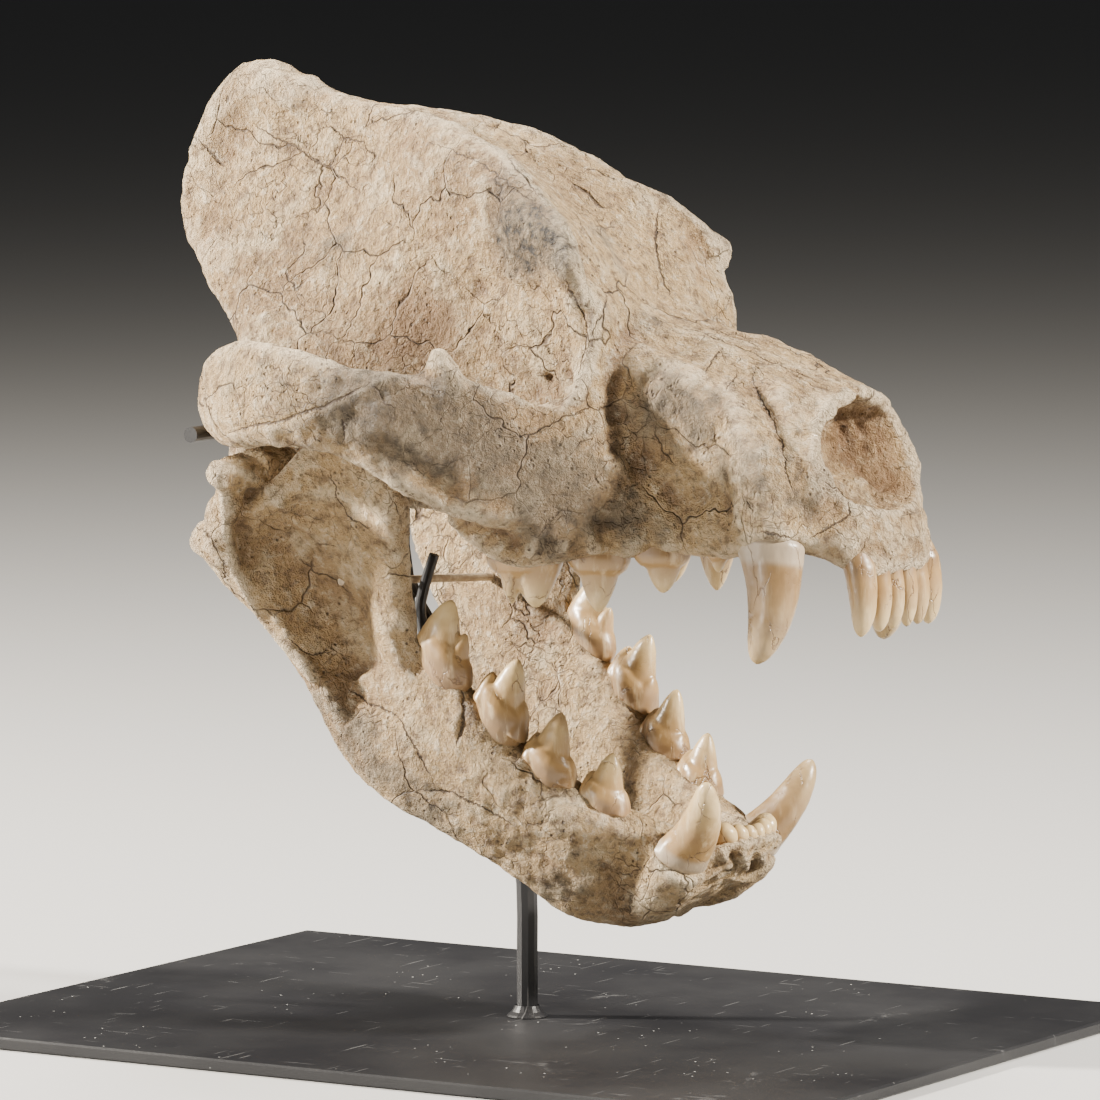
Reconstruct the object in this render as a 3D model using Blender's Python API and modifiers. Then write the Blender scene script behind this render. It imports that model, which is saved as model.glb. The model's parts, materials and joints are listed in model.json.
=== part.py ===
"""Fossil skull of a giant hyaena-like carnivore, jaws agape, on a black steel stand.

Frame: origin at the centre of the plate's underside, +X the way the skull faces,
-Y the animal's right, +Z up. Shape numbers are millimetres, made metres at the end.
"""

import math

import bmesh
import bpy
import numpy as np
from mathutils import Matrix, Vector

MM = 0.001
GAP = 0.4                     # clearance between touching pieces

# Driving sizes of the stand
PLATE = (400.0, 300.0, 5.0)
PLATE_BEVEL = 0.8
ROD_RADIUS = 4.25
PRONG_RADIUS = 2.2
CROSSBAR_RADIUS = 1.6
CROSSBAR_ENDS = ((-47.4, -61.4, 180.5), (-49.4, 61.4, 171.5))  # painted bar between the rami
BAR_RADIUS = 3.1
BAR_HALF = 103.5
BAR_AT = (-89.5, 239.0)       # x and z of the bar behind the jaw joints

# Grain of the bone solids
BONE_VOXEL = 2.4
TOOTH_VOXEL = 1.1
CRANIUM_TRIANGLES = 2440
MANDIBLE_TRIANGLES = 1500

# Skull body from the nape to the incisors: x, then eight (y, z) points from the
# top midline down one side to the bottom midline
VAULT = [
    (-160.5, 0, 325, 2, 324, 3, 322, 3, 320, 3, 318, 3, 316, 2, 314, 0, 313),
    (-156, 0, 343, 5, 341, 6, 335, 6, 328, 7, 321, 8, 314, 6, 309, 0, 307),
    (-147, 0, 364, 6, 361, 8, 349, 8, 335, 10, 320, 14, 307, 10, 300, 0, 298),
    (-134, 0, 378, 6, 374, 9, 360, 11, 340, 16, 318, 24, 298, 20, 288, 0, 284),
    (-120, 0, 380, 6, 377, 9, 360, 13, 338, 21, 314, 31, 293, 24, 276, 0, 262),
    (-106, 0, 375.5, 6, 373, 10, 355, 16, 330, 26, 306, 40, 281, 38, 252, 0, 228),
    (-90, 0, 368, 6, 365, 11, 348, 18, 326, 31, 300, 46, 274, 46, 240, 0, 217),
    (-70, 0, 364, 7, 361, 13, 345, 22, 320, 35, 296, 47, 270, 42, 238, 0, 215),
    (-50, 0, 361, 10, 361, 18, 346, 27, 320, 38, 296, 46, 270, 37, 236, 0, 217),
    (-25, 0, 352, 20, 357, 31, 345, 34, 321, 38, 295, 42, 268, 29, 234, 0, 220),
    (0, 0, 341, 29, 348, 38, 338, 38, 315, 39, 290, 40, 264, 27, 232, 0, 221),
    (25, 0, 325, 41, 333, 52, 320, 46, 304, 43, 286, 44, 262, 34, 222, 0, 211),
    (46, 0, 306, 48, 315, 57, 305, 48, 292, 44, 276, 49, 252, 47, 212, 0, 204),
    (60, 0, 288, 33, 292, 44, 286, 47, 275, 46, 262, 50, 238, 51, 206, 0, 202),
    (76, 0, 281, 20, 280.5, 29, 273.5, 35, 261, 41, 241, 48, 218, 48, 200, 0, 202),
    (100, 0, 275.5, 18, 275, 31, 267, 40, 254, 45, 236, 48, 218, 45, 200, 0, 203),
    (120, 0, 268.5, 19, 267.5, 30, 259, 38, 248, 45, 232, 49, 215, 46, 201, 0, 205),
    (138, 0, 261.5, 18, 260.5, 29, 253, 36, 243, 41, 230, 45, 215, 43, 203, 0, 205),
    (149, 0, 257, 14, 256.5, 26, 249, 34, 241, 38, 231, 40, 215, 37, 200, 0, 201),
    (156, 0, 249, 12, 247, 22, 240, 29, 230, 33, 220, 35, 209, 33, 197, 0, 197),
    (162, 0, 224, 11, 223, 19, 220, 25, 215, 29, 209, 31, 203, 29, 194, 0, 193),
    (167, 0, 209, 9, 208, 16, 206, 21, 203, 24, 199, 26, 196, 23, 192, 0, 191),
    (170, 0, 203, 5, 202.5, 9, 201, 13, 199, 15, 197, 15, 195, 11, 192, 0, 192),
]

# Swept pieces: x, y, z, half height, half width; y is given for the animal's
# left and each piece is made on both sides
CHEEK_ARCH = [
    (70, 44, 228, 20, 12), (60, 55, 230, 24, 13), (46, 70, 229, 24, 10), (29, 88, 237, 26, 8),
    (10, 103, 244.5, 22.5, 7), (-12, 112, 251, 18, 7), (-36, 116, 256, 19, 8.5),
    (-58, 110, 256, 21, 12), (-72, 98, 254, 20, 15), (-77, 80, 252, 18, 15),
    (-78, 56, 250, 17, 16), (-78, 38, 250, 16, 16),
]
CHEEK_KNOB = [(20, 95, 257, 11, 7), (19.5, 95.5, 268, 7, 5), (19, 96, 277, 3, 3)]
CHEEK_FOOT = [(62, 54, 209, 12, 9), (48, 61, 205, 13, 10), (34, 67, 204, 13, 8), (20, 83, 218, 11, 6)]
BROW_HORN = [(20, 38, 327, 9, 12), (38, 49, 316, 9, 10), (49, 55, 307, 7, 7), (54, 58, 303, 4, 4)]
ORBIT_RIM = [
    (51, 54, 303, 5, 5), (54, 52, 293, 5, 5), (57, 50, 282, 6, 5), (59, 51, 270, 6, 5),
    (57, 59, 256, 6, 5), (48, 70, 249, 5, 4), (36, 80, 252, 5, 3.5), (27, 87, 258, 5, 3.5),
]
NAPE_CREST = [
    (-155, 3, 316, 5, 4), (-144, 9, 305, 5, 5), (-124, 23, 287, 5, 5), (-102, 39, 272, 6, 6),
    (-91, 50, 257, 7, 7), (-86, 56, 240, 8, 8),
]
EAR_SPUR = [(-95, 48, 244, 9, 8), (-101, 46, 226, 8, 7), (-104, 44, 212, 5, 5)]
GUM_RIDGE = [
    (132, 41, 206, 9, 12), (108, 38, 204, 8, 9), (84, 39.5, 204, 9, 10), (60, 45.5, 202, 9, 11),
    (38, 53, 202, 9, 11), (18, 55, 206, 7, 9),
]
CANINE_SWELL = [
    (133, 41, 209, 14, 12), (128, 40, 228, 13, 11), (118, 37, 244, 11, 9), (105, 33, 256, 9, 7),
]
PALATE_WING = [(14, 24, 208, 8, 4), (-10, 21, 210, 9, 3.4), (-34, 18, 213, 8, 3), (-46, 17, 209, 5, 2.6)]
EAR_CAPSULE = ((-76, 27, 221), (18, 13, 13))
NECK_KNUCKLE = ((-111, 17, 234), (11, 12, 14))

# What the cranium is hollowed with: centre, half sizes, and lean about Y in degrees
ORBIT_HOLLOW = ((32, 66, 282), (23, 21, 24), 0)
NOSE_HOLLOW = ((158, 0, 234), (16, 31, 24), -17)
NOSE_HOLLOW_DEEP = ((149, 0, 238), (13, 20, 15), 0)
GROIN_HOLLOW = ((82, 56, 258), (15, 19, 26), 12)
CHOANA_HOLLOW = ((-30, 0, 210), (34, 13, 14), 0)
BRAIN_DOOR = ((-121, 0, 256), (22, 13, 10), -20)
JOINT_HOLLOW_RADIUS = 9.4
JOINT_AT = (-75.0, 224.0)

# Jaw body: x, y, z of the tooth line and of the lower border, half thickness
JAW_BODY = [
    (-12, 55, 160, -64, 53, 132, 2.5), (-6, 54.5, 152, -47, 52, 107, 8),
    (4, 53, 142, -32, 50, 95, 11), (15, 51, 133, -17, 47, 88, 12), (33, 45, 114, 3, 42, 77, 12.5),
    (55, 37.5, 101, 24, 34, 63, 13), (73, 31, 92, 42, 24, 50, 14), (88, 25, 85, 60, 13, 47.5, 14),
]
JAW_BODY_SAMPLES = 26
# Ramus, from the tip down: z, x and y of the front edge, x and y of the back edge,
# how far the rear ridge stands out and how deep the muscle hollow goes
RAMUS = [
    (257, -16, 80, -27, 81, 1, 0), (249, -9, 80, -36, 82, 2, 0), (238, -6, 79, -48, 83, 2, 1),
    (226, -6, 76, -60, 84, 3, 2), (215, -8, 74, -74, 85, 5, 5), (207, -9, 72, -90, 83, 7, 7),
    (198, -11, 69, -101, 80, 8, 8), (188, -12, 66, -102, 76, 8, 9), (178, -13, 63, -96, 70, 8, 9),
    (167, -14, 60, -87, 64.5, 8, 9), (155, -14, 58, -78, 60, 8, 8.5), (142, -8, 55, -70, 57, 7.5, 7),
    (126, 2, 52, -61, 54.5, 6.5, 4), (112, 3, 50, -54, 52.5, 5, 1), (99, -6, 51, -42, 50, 4, 0),
]
RAMUS_HALF = 3.6
COLUMN_HALF = 6.8
JAW_KNUCKLE = [(-75, 51, 222, 5, 5), (-75, 60, 224, 7.5, 7.5), (-75, 80, 224.5, 8, 8),
               (-77, 97, 224, 6.5, 6), (-80, 105, 223, 4, 4)]
KNUCKLE_NECK = [(-77, 94, 221, 6, 6), (-81, 90, 213, 7.5, 6), (-87, 86, 204, 8, 7),
                (-88, 81, 190, 7, 6)]
HEEL = [(-82, 80, 192, 8, 6), (-92, 80, 194, 8, 6.5), (-102, 80, 198, 6.5, 5.5)]
# Chin block: x, top z, bottom z, half width
CHIN = [
    (34, 66, 53, 14), (44, 73, 46.5, 21), (57, 77, 46, 27), (73, 79, 53.5, 30),
    (86, 82, 62, 31), (96, 84, 71, 27), (103, 85, 78, 20), (107, 84.5, 81, 12),
]
CHIN_SWELL = [(60, 21, 62, 12, 11), (72, 23.5, 66, 13.5, 12.5), (82, 27, 73, 13.5, 12.5),
              (87, 29.6, 78.5, 12, 11.5)]

# Teeth of one side. Peg teeth: root centre, gum centre, tip, half depth, half width, taper
UPPER_PEGS = {
    "incisor_1": ((160.5, 5, 206), (165, 5.1, 193), (166.4, 5.4, 168.5), 4.6, 4.4, 0.2),
    "incisor_2": ((159.5, 14.3, 206), (164.4, 14.6, 193), (165.8, 15.4, 168.5), 5.0, 4.8, 0.2),
    "incisor_3": ((157, 24, 207), (162.6, 25.3, 194), (164.4, 27, 167.5), 6.4, 5.9, 0.3),
    "canine": ((129, 39.5, 219), (132.3, 41, 202), (132.2, 50.2, 157.5), 13.2, 10.8, 0.5),
}
LOWER_PEGS = {
    "incisor_1": ((92.5, 3.1, 75), (99, 3.2, 82.5), (104.5, 3.3, 89), 3.1, 2.6, 0.15),
    "incisor_2": ((92, 8.8, 75.5), (98, 9, 82.5), (103.5, 9.4, 89.5), 3.2, 2.6, 0.15),
    "incisor_3": ((90.5, 14.1, 76.5), (95.8, 14.5, 83), (101, 15.2, 90), 3.4, 2.5, 0.15),
    "canine": ((72, 21.5, 62), (85.5, 28.6, 78), (105.7, 40.8, 109.6), 10.6, 9.2, 0.5),
}
# Cheek teeth: gum centre, row length, width, slope of the row in degrees, turn of
# the row about Z, then cusps: place along the row and height
UPPER_CHEEK = {
    "premolar_1": ((108, 37.5, 198), 10, 8, 0, 4, [(0.0, 8)]),
    "premolar_2": ((84.2, 39.5, 198), 22.5, 14, 0, 10, [(0.05, 17), (0.62, 7), (-0.66, 7)]),
    "premolar_3": ((59.7, 45.5, 197), 25, 17, 0, 16, [(0.0, 24), (0.64, 9), (-0.66, 9)]),
    "premolar_4": ((30.4, 53.8, 195), 28.5, 16, 0, 12, [(0.38, 21), (0.82, 11), (-0.30, 20)]),
}
LOWER_CHEEK = {
    "premolar_2": ((57.2, 36.8, 97.6), 21.5, 15, 26, 14, [(0.0, 20.5), (0.64, 9), (-0.66, 10)]),
    "premolar_3": ((37, 44.5, 110), 23.6, 17, 33, 14, [(-0.02, 23.5), (0.64, 10), (-0.68, 11)]),
    "premolar_4": ((18.5, 50.5, 130), 26, 17, 42, 12, [(0.06, 25), (0.66, 13), (-0.66, 13)]),
    "molar_1": ((-3.5, 55.5, 150), 28, 14, 44, 10, [(0.36, 17), (-0.34, 23)]),
}
TOOTH_TRIANGLES = {"canine": 130, "incisor": 56, "premolar": 96, "molar": 104}
WELL_SIDES = {"canine": 12, "incisor": 8, "premolar": 10, "molar": 10}
ROOT_DEPTH = 7.0
SIDES = {"right": -1, "left": 1}

# Steel rod: from the plate up between the jaw halves and into the skull base
ROD_ROUTE = [
    (0, 0, 5.3), (0, 0, 34), (-0.5, 0, 60), (-6, 0, 84), (-16, 0, 107), (-28, 0, 129),
    (-39, 0, 147), (-48.5, 0, 161), (-55.5, 0, 171.5), (-58.5, 0, 183), (-59, 0, 206), (-59, 0, 229),
]
# Weld at the rod's foot: height above the floor and radius of each ring
WELD_RINGS = [(5.3, 8.2), (6.0, 7.6), (7.2, 6.2), (8.8, 5.2), (9.6, 4.9)]
# Fork beside the rod, side view x and z: the painted bar rests between its prongs
FORK_Y = -6.9
FORK_LONG = [(-43.5, 155), (-45, 166), (-42.5, 176), (-38.5, 187)]
FORK_SHORT = [(-45, 162), (-50.5, 170), (-55.5, 175.5)]
FORK_TRIANGLES = 220

COLOURS = {
    "bone": ((0.66, 0.56, 0.44), 0.75, 0.0),
    "enamel": ((0.62, 0.48, 0.31), 0.35, 0.0),
    "black_steel": ((0.018, 0.018, 0.02), 0.42, 0.9),
    "bone_paint": ((0.55, 0.45, 0.33), 0.6, 0.0),
}


def smooth_rows(rows, count):
    """Even samples of a smooth curve through hand-set rows of numbers."""
    rows = np.array(rows, float)
    steps = np.linalg.norm(np.diff(rows, axis=0), axis=1)
    knots = np.concatenate([[0.0], np.cumsum(steps)])
    slopes = np.gradient(rows, knots, axis=0)
    at = np.linspace(0.0, knots[-1], count)
    low = np.clip(np.searchsorted(knots, at, side="right") - 1, 0, len(rows) - 2)
    span = (knots[low + 1] - knots[low])[:, None]
    t = (at - knots[low])[:, None] / span
    return ((2 * t**3 - 3 * t**2 + 1) * rows[low] + (t**3 - 2 * t**2 + t) * span * slopes[low]
            + (3 * t**2 - 2 * t**3) * rows[low + 1] + (t**3 - t**2) * span * slopes[low + 1])


def closed_ring(points, count):
    """Smooth closed ring of count points through the given ones."""
    points = list(points)
    looped = np.array([*points[-2:], *points, *points[:3]], float)
    dense = smooth_rows(looped, 40 * len(looped))
    start = np.argmin(np.linalg.norm(dense[: len(dense) // 2] - looped[2], axis=1))
    end = len(dense) // 2 + np.argmin(
        np.linalg.norm(dense[len(dense) // 2:] - looped[2], axis=1))
    loop = dense[start:end + 1]
    lengths = np.concatenate([[0.0], np.cumsum(np.linalg.norm(np.diff(loop, axis=0), axis=1))])
    at = np.linspace(0.0, lengths[-1], count, endpoint=False)
    return np.stack([np.interp(at, lengths, loop[:, axis]) for axis in range(loop.shape[1])], 1)


def add_loft(bm, rings):
    """Closed skin over rings of equal length, from a grid wrapped round them."""
    rings = np.array(rings, float)
    along, around = rings.shape[0] - 1, rings.shape[1]
    made = bmesh.ops.create_grid(bm, x_segments=along, y_segments=around, size=0.5)["verts"]
    for vert in made:
        ring = round((vert.co.x + 0.5) * along)
        spot = round((vert.co.y + 0.5) * around) % around
        vert.co = rings[ring, spot]
    bmesh.ops.remove_doubles(bm, verts=made, dist=1e-5)
    made = [vert for vert in made if vert.is_valid]
    rims = {edge for vert in made for edge in vert.link_edges if edge.is_boundary}
    bmesh.ops.holes_fill(bm, edges=list(rims), sides=0)
    faces = {face for vert in made for face in vert.link_faces}
    bmesh.ops.recalc_face_normals(bm, faces=list(faces))


def add_sweep(bm, rows, side=1, count=24, per_step=5):
    """Oval section swept along rows of x, y, z, half height, half width."""
    path = smooth_rows(rows, per_step * (len(rows) - 1) + 1)
    path[:, 3:] = np.maximum(path[:, 3:], 0.8)
    centres = path[:, :3] * (1, side, 1)
    tangents = np.gradient(centres, axis=0)
    rings = []
    for centre, tangent, (high, wide) in zip(centres, tangents, path[:, 3:5]):
        forward = Vector(tangent).normalized()
        rough_up = Vector((0, 0, 1)) if abs(forward.z) < 0.92 else Vector((1, 0, 0))
        across = forward.cross(rough_up).normalized()
        up = across.cross(forward)
        angles = (2 * math.pi * step / count for step in range(count))
        rings.append([Vector(centre) + across * wide * math.cos(a) + up * high * math.sin(a)
                      for a in angles])
    add_loft(bm, rings)


def add_ball(bm, centre, radii, side=1, lean=0.0):
    place = (Matrix.Translation((centre[0], centre[1] * side, centre[2]))
             @ Matrix.Rotation(math.radians(lean), 4, "Y") @ Matrix.Diagonal((*radii, 1)))
    bmesh.ops.create_uvsphere(bm, u_segments=28, v_segments=16, radius=1, matrix=place)


def add_rod(bm, start, end, radius, sides=24):
    """Straight round bar between two points."""
    axis = Vector(end) - Vector(start)
    place = (Matrix.Translation((Vector(start) + Vector(end)) / 2)
             @ axis.to_track_quat("Z", "Y").to_matrix().to_4x4())
    bmesh.ops.create_cone(bm, cap_ends=True, segments=sides, radius1=radius, radius2=radius,
                          depth=axis.length, matrix=place)


def object_from(bm, name, collection):
    mesh = bpy.data.meshes.new(name)
    bm.to_mesh(mesh)
    bm.free()
    made = bpy.data.objects.new(name, mesh)
    collection.objects.link(made)
    return made


def bake(piece):
    """Replace the piece's mesh by its evaluated one and drop the modifiers."""
    shaped = bpy.data.meshes.new_from_object(
        piece.evaluated_get(bpy.context.evaluated_depsgraph_get()))
    piece.modifiers.clear()
    old, piece.data = piece.data, shaped
    bpy.data.meshes.remove(old)
    shaped.name = piece.name


def fuse(piece, voxel, smooth=0, factor=0.5):
    """Melt overlapping shells into one skin, then soften it."""
    remesh = piece.modifiers.new("Fuse", "REMESH")
    remesh.mode = "VOXEL"
    remesh.voxel_size = voxel
    remesh.adaptivity = 0.0
    if smooth:
        soften = piece.modifiers.new("Soften", "SMOOTH")
        soften.iterations = smooth
        soften.factor = factor
    bake(piece)


def thin_to(piece, triangles):
    """Keep about this many triangles, spent where the form bends most."""
    count = sum(len(face.vertices) - 2 for face in piece.data.polygons)
    if count > triangles:
        thin = piece.modifiers.new("Thin", "DECIMATE")
        thin.ratio = triangles / count
        thin.use_collapse_triangulate = True
    triangulate = piece.modifiers.new("Triangles", "TRIANGULATE")
    triangulate.min_vertices = 4
    bake(piece)


def cut(piece, cutter):
    boolean = piece.modifiers.new("Cut", "BOOLEAN")
    boolean.operation = "DIFFERENCE"
    boolean.solver = "EXACT"
    boolean.object = cutter
    bake(piece)


def drop_crumbs(piece):
    """Keep the largest body of the mesh: wells that meet can free a crumb of bone."""
    bm = bmesh.new()
    bm.from_mesh(piece.data)
    bodies, seen = [], set()
    for start in bm.verts:
        if start in seen:
            continue
        body, queue = {start}, [start]
        while queue:
            for edge in queue.pop().link_edges:
                for vert in edge.verts:
                    if vert not in body:
                        body.add(vert)
                        queue.append(vert)
        seen |= body
        bodies.append(body)
    bodies.sort(key=len)
    crumbs = [vert for body in bodies[:-1] for vert in body]
    bmesh.ops.delete(bm, geom=crumbs, context="VERTS")
    bm.to_mesh(piece.data)
    bm.free()


def as_cutter(piece):
    piece.hide_render = True
    piece.display_type = "WIRE"
    return piece


def vault_rings():
    """Mirror-even rings of the skull body along X."""
    rings = []
    for row in smooth_rows(VAULT, 110):
        half = [(row[k], row[k + 1]) for k in range(1, 17, 2)]
        half[0] = (0.0, half[0][1])
        half[-1] = (0.0, half[-1][1])
        loop = half + [(-y, z) for y, z in half[-2:0:-1]]
        ring = closed_ring(loop, 56)
        rings.append([(row[0], y, z) for y, z in ring])
    return rings


def cranium_body(collection):
    bm = bmesh.new()
    add_loft(bm, vault_rings())
    for side in SIDES.values():
        for rows in (CHEEK_ARCH, CHEEK_KNOB, CHEEK_FOOT, BROW_HORN, ORBIT_RIM, NAPE_CREST,
                     EAR_SPUR, GUM_RIDGE, CANINE_SWELL, PALATE_WING):
            add_sweep(bm, rows, side)
        add_ball(bm, *EAR_CAPSULE, side)
        add_ball(bm, *NECK_KNUCKLE, side)
    piece = object_from(bm, "cranium", collection)
    fuse(piece, BONE_VOXEL, smooth=3)
    return piece


def cranium_hollows(collection):
    """Eye sockets, nose, inner nostrils, brain opening and jaw joints, as one cutter."""
    bm = bmesh.new()
    for side in SIDES.values():
        for centre, radii, lean in (ORBIT_HOLLOW, GROIN_HOLLOW):
            add_ball(bm, centre, radii, side, lean)
        x, z = JOINT_AT
        add_rod(bm, (x, side * 44, z), (x, side * 118, z), JOINT_HOLLOW_RADIUS)
    for centre, radii, lean in (NOSE_HOLLOW, NOSE_HOLLOW_DEEP, CHOANA_HOLLOW, BRAIN_DOOR):
        add_ball(bm, centre, radii, lean=lean)
    piece = as_cutter(object_from(bm, "cranium_hollows", collection))
    fuse(piece, 1.6)
    return piece


def ramus_rings(side):
    """Level rings of one ramus, hollowed on the cheek side for the chewing muscle."""
    rings = []
    for z, fx, fy, bx, by, ridge, hollow in smooth_rows(RAMUS, 56):
        width, span = fx - bx, by - fy
        swell = min(1.0, width / 36)

        def spot(part, out):
            return fx - part * width, fy + part * span + out

        loop = [
            (fx, fy), spot(0.1, COLUMN_HALF * swell), spot(0.4, RAMUS_HALF * swell - hollow),
            spot(0.62, RAMUS_HALF * swell - hollow), spot(0.8, max(ridge, RAMUS_HALF * swell)),
            (bx, by), spot(0.82, -RAMUS_HALF * swell), spot(0.5, -RAMUS_HALF * swell - hollow * 0.8),
            spot(0.12, -COLUMN_HALF * swell * 0.8),
        ]
        rings.append([(x, side * y, z) for x, y in closed_ring(loop, 48)])
    return rings


def jaw_body_rings(side):
    """Rings across the jaw body, tall ovals from the tooth line to the lower border."""
    rings = []
    for row in smooth_rows(JAW_BODY, JAW_BODY_SAMPLES):
        top, low, half = Vector(row[0:3]), Vector(row[3:6]), row[6]
        middle, tall = (top + low) / 2, (top - low) / 2
        across = tall.cross(Vector((1, 0, -1))).normalized()
        ring = []
        for step in range(40):
            a = 2 * math.pi * step / 40
            up = math.copysign(abs(math.cos(a)) ** 0.7, math.cos(a))
            out = math.copysign(abs(math.sin(a)) ** 0.7, math.sin(a))
            spot = middle + tall * up + across * half * out
            ring.append((spot.x, side * spot.y, spot.z))
        rings.append(ring)
    return rings


def chin_rings():
    rings = []
    for x, top, low, half in smooth_rows(CHIN, 24):
        middle, tall = (top + low) / 2, (top - low) / 2
        ring = []
        for step in range(40):
            a = 2 * math.pi * step / 40
            out = math.copysign(abs(math.sin(a)) ** 0.85, math.sin(a))
            ring.append((x, half * out, middle + tall * math.cos(a)))
        rings.append(ring)
    return rings


def mandible_body(collection):
    bm = bmesh.new()
    add_loft(bm, chin_rings())
    for side in SIDES.values():
        add_loft(bm, ramus_rings(side))
        add_loft(bm, jaw_body_rings(side))
        for rows in (JAW_KNUCKLE, KNUCKLE_NECK, HEEL, CHIN_SWELL):
            add_sweep(bm, rows, side)
    piece = object_from(bm, "mandible", collection)
    fuse(piece, BONE_VOXEL, smooth=3)
    return piece


def add_peg(bm, root, gum, tip, deep, wide, taper, side):
    """Curved cone of an incisor or canine, with a blunt root."""
    flip = np.array((1, side, 1))
    root, gum, tip = (Vector(np.array(spot) * flip) for spot in (root, gum, tip))
    axis = (tip - gum).normalized()
    across = axis.cross(Vector((1, 0, 0))).normalized()
    if abs(axis.x) > 0.45:
        across = Vector((0.25, side, -0.2)).normalized()
    fore = across.cross(axis).normalized()
    rings = []
    for step in range(25):
        t = step / 24
        if t < 0.3:
            spot = root.lerp(gum, t / 0.3)
            grow = 0.78 + 0.22 * t / 0.3
        else:
            s = (t - 0.3) / 0.7
            spot = gum.lerp(tip, s)
            bow = math.sin(math.pi * s) * 0.05 * (tip - gum).length
            spot = spot + fore * bow * (1 if fore.x > 0 else -1)
            grow = max(0.06, taper * (1 - s) + (1 - taper) * math.sqrt(1 - s ** 2))
        ring = []
        for spoke in range(24):
            a = 2 * math.pi * spoke / 24
            ring.append(spot + fore * deep * grow * math.cos(a) + across * wide * grow * math.sin(a))
        rings.append(ring)
    add_loft(bm, rings)


def cheek_frame(gum, slope, turn, side, upper):
    """Local axes of a cheek tooth: along the row to the front, across, and out of the gum."""
    out = -1 if upper else 1
    along = Vector((math.cos(math.radians(slope)), 0, -math.sin(math.radians(slope))))
    along.rotate(Matrix.Rotation(math.radians(-turn * side), 3, "Z"))
    lean = math.radians(slope * 0.45)
    rise = Vector((math.sin(lean), 0, out * math.cos(lean)))
    across = rise.cross(along).normalized()
    centre = Vector((gum[0], gum[1] * side, gum[2]))
    return centre, along, across, rise


def add_cheek_tooth(bm, gum, length, width, slope, turn, cusps, side, upper):
    """Bone-cracking crown: cones on a swollen collar, over a stout root."""
    centre, along, across, rise = cheek_frame(gum, slope, turn, side, upper)
    half, thick = length / 2, width / 2

    def oval(spot, long, wide, height):
        return [centre + along * (spot + long * math.cos(2 * math.pi * k / 20))
                + across * wide * math.sin(2 * math.pi * k / 20) + rise * height
                for k in range(20)]

    tall = max(height for _, height in cusps)
    add_loft(bm, [oval(0, half * f, thick * f, h) for f, h in
                  ((0.74, -ROOT_DEPTH), (0.86, -3), (0.95, 0), (1.0, 0.12 * tall),
                   (0.97, 0.21 * tall), (0.86, 0.29 * tall), (0.6, 0.33 * tall))])
    for place, height in cusps:
        reach = 0.80 if height == tall else 0.42
        reach = min(reach, 1.0 - abs(place) + 0.2)
        rings = []
        for step in range(12):
            s = step / 11
            grow = max(0.07, 0.55 * (1 - s) + 0.45 * math.sqrt(1 - s ** 2))
            rings.append(oval(place * half, half * reach * grow, thick * 0.9 * grow, height * s))
        add_loft(bm, rings)


def build_tooth(name, kind, make, voxel, collection):
    bm = bmesh.new()
    make(bm)
    piece = object_from(bm, name, collection)
    fuse(piece, voxel, smooth=1)
    thin_to(piece, TOOTH_TRIANGLES[kind])
    return piece


def fitted_well(tooth, axes, collection):
    """Well that clears every point of the tooth by the gap."""
    centre, along, across, rise = axes
    points = [vert.co - centre for vert in tooth.data.vertices]
    heights = [point.dot(rise) for point in points]
    low = min(heights) - GAP
    sides = WELL_SIDES[tooth.name.split("_")[2]]
    flat = math.cos(math.pi / sides)
    mid_a = (max(p.dot(along) for p in points) + min(p.dot(along) for p in points)) / 2
    mid_b = (max(p.dot(across) for p in points) + min(p.dot(across) for p in points)) / 2
    half = max(p.dot(along) for p in points) - mid_a
    thick = max(p.dot(across) for p in points) - mid_b
    reach = max(math.hypot((p.dot(along) - mid_a) / half, (p.dot(across) - mid_b) / thick)
                for p in points)
    half = (half * reach + GAP) / flat
    thick = (thick * reach + GAP) / flat
    middle = centre + along * mid_a + across * mid_b
    spokes = [2 * math.pi * k / sides for k in range(sides)]
    bm = bmesh.new()
    add_loft(bm, [[middle + along * half * math.cos(a) + across * thick * math.sin(a)
                   + rise * height for a in spokes] for height in (low, max(heights) + 2)])
    return as_cutter(object_from(bm, tooth.name + "_well", collection))


def peg_axes(gum, root, side):
    flip = np.array((1, side, 1))
    centre = Vector(np.array(gum) * flip)
    rise = (centre - Vector(np.array(root) * flip)).normalized()
    across = rise.cross(Vector((1, 0, 0))).normalized()
    return centre, across.cross(rise).normalized(), across, rise


def build_teeth(jaw, pegs, cheek, collection, cutters):
    """All teeth of one jaw with the wells they sit in."""
    upper = jaw == "upper"
    wells = []
    for side_name, side in SIDES.items():
        for tooth, values in pegs.items():
            name = f"{jaw}_{side_name}_{tooth}"
            piece = build_tooth(name, tooth.split("_")[0],
                                lambda bm: add_peg(bm, *values, side), TOOTH_VOXEL, collection)
            wells.append(fitted_well(piece, peg_axes(values[1], values[0], side), cutters))
        for tooth, (gum, length, width, slope, turn, cusps) in cheek.items():
            name = f"{jaw}_{side_name}_{tooth}"
            piece = build_tooth(
                name, tooth.split("_")[0],
                lambda bm: add_cheek_tooth(bm, gum, length, width, slope, turn, cusps, side, upper),
                TOOTH_VOXEL, collection)
            wells.append(fitted_well(piece, cheek_frame(gum, slope, turn, side, upper), cutters))
    return wells


def bevelled_plate(collection):
    bm = bmesh.new()
    bmesh.ops.create_cube(bm, size=1, matrix=Matrix.Translation((0, 0, PLATE[2] / 2))
                          @ Matrix.Diagonal((*PLATE, 1)))
    bmesh.ops.bevel(bm, geom=bm.edges[:], offset=PLATE_BEVEL, segments=1, profile=0.5,
                    affect="EDGES")
    return object_from(bm, "base_plate", collection)


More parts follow.
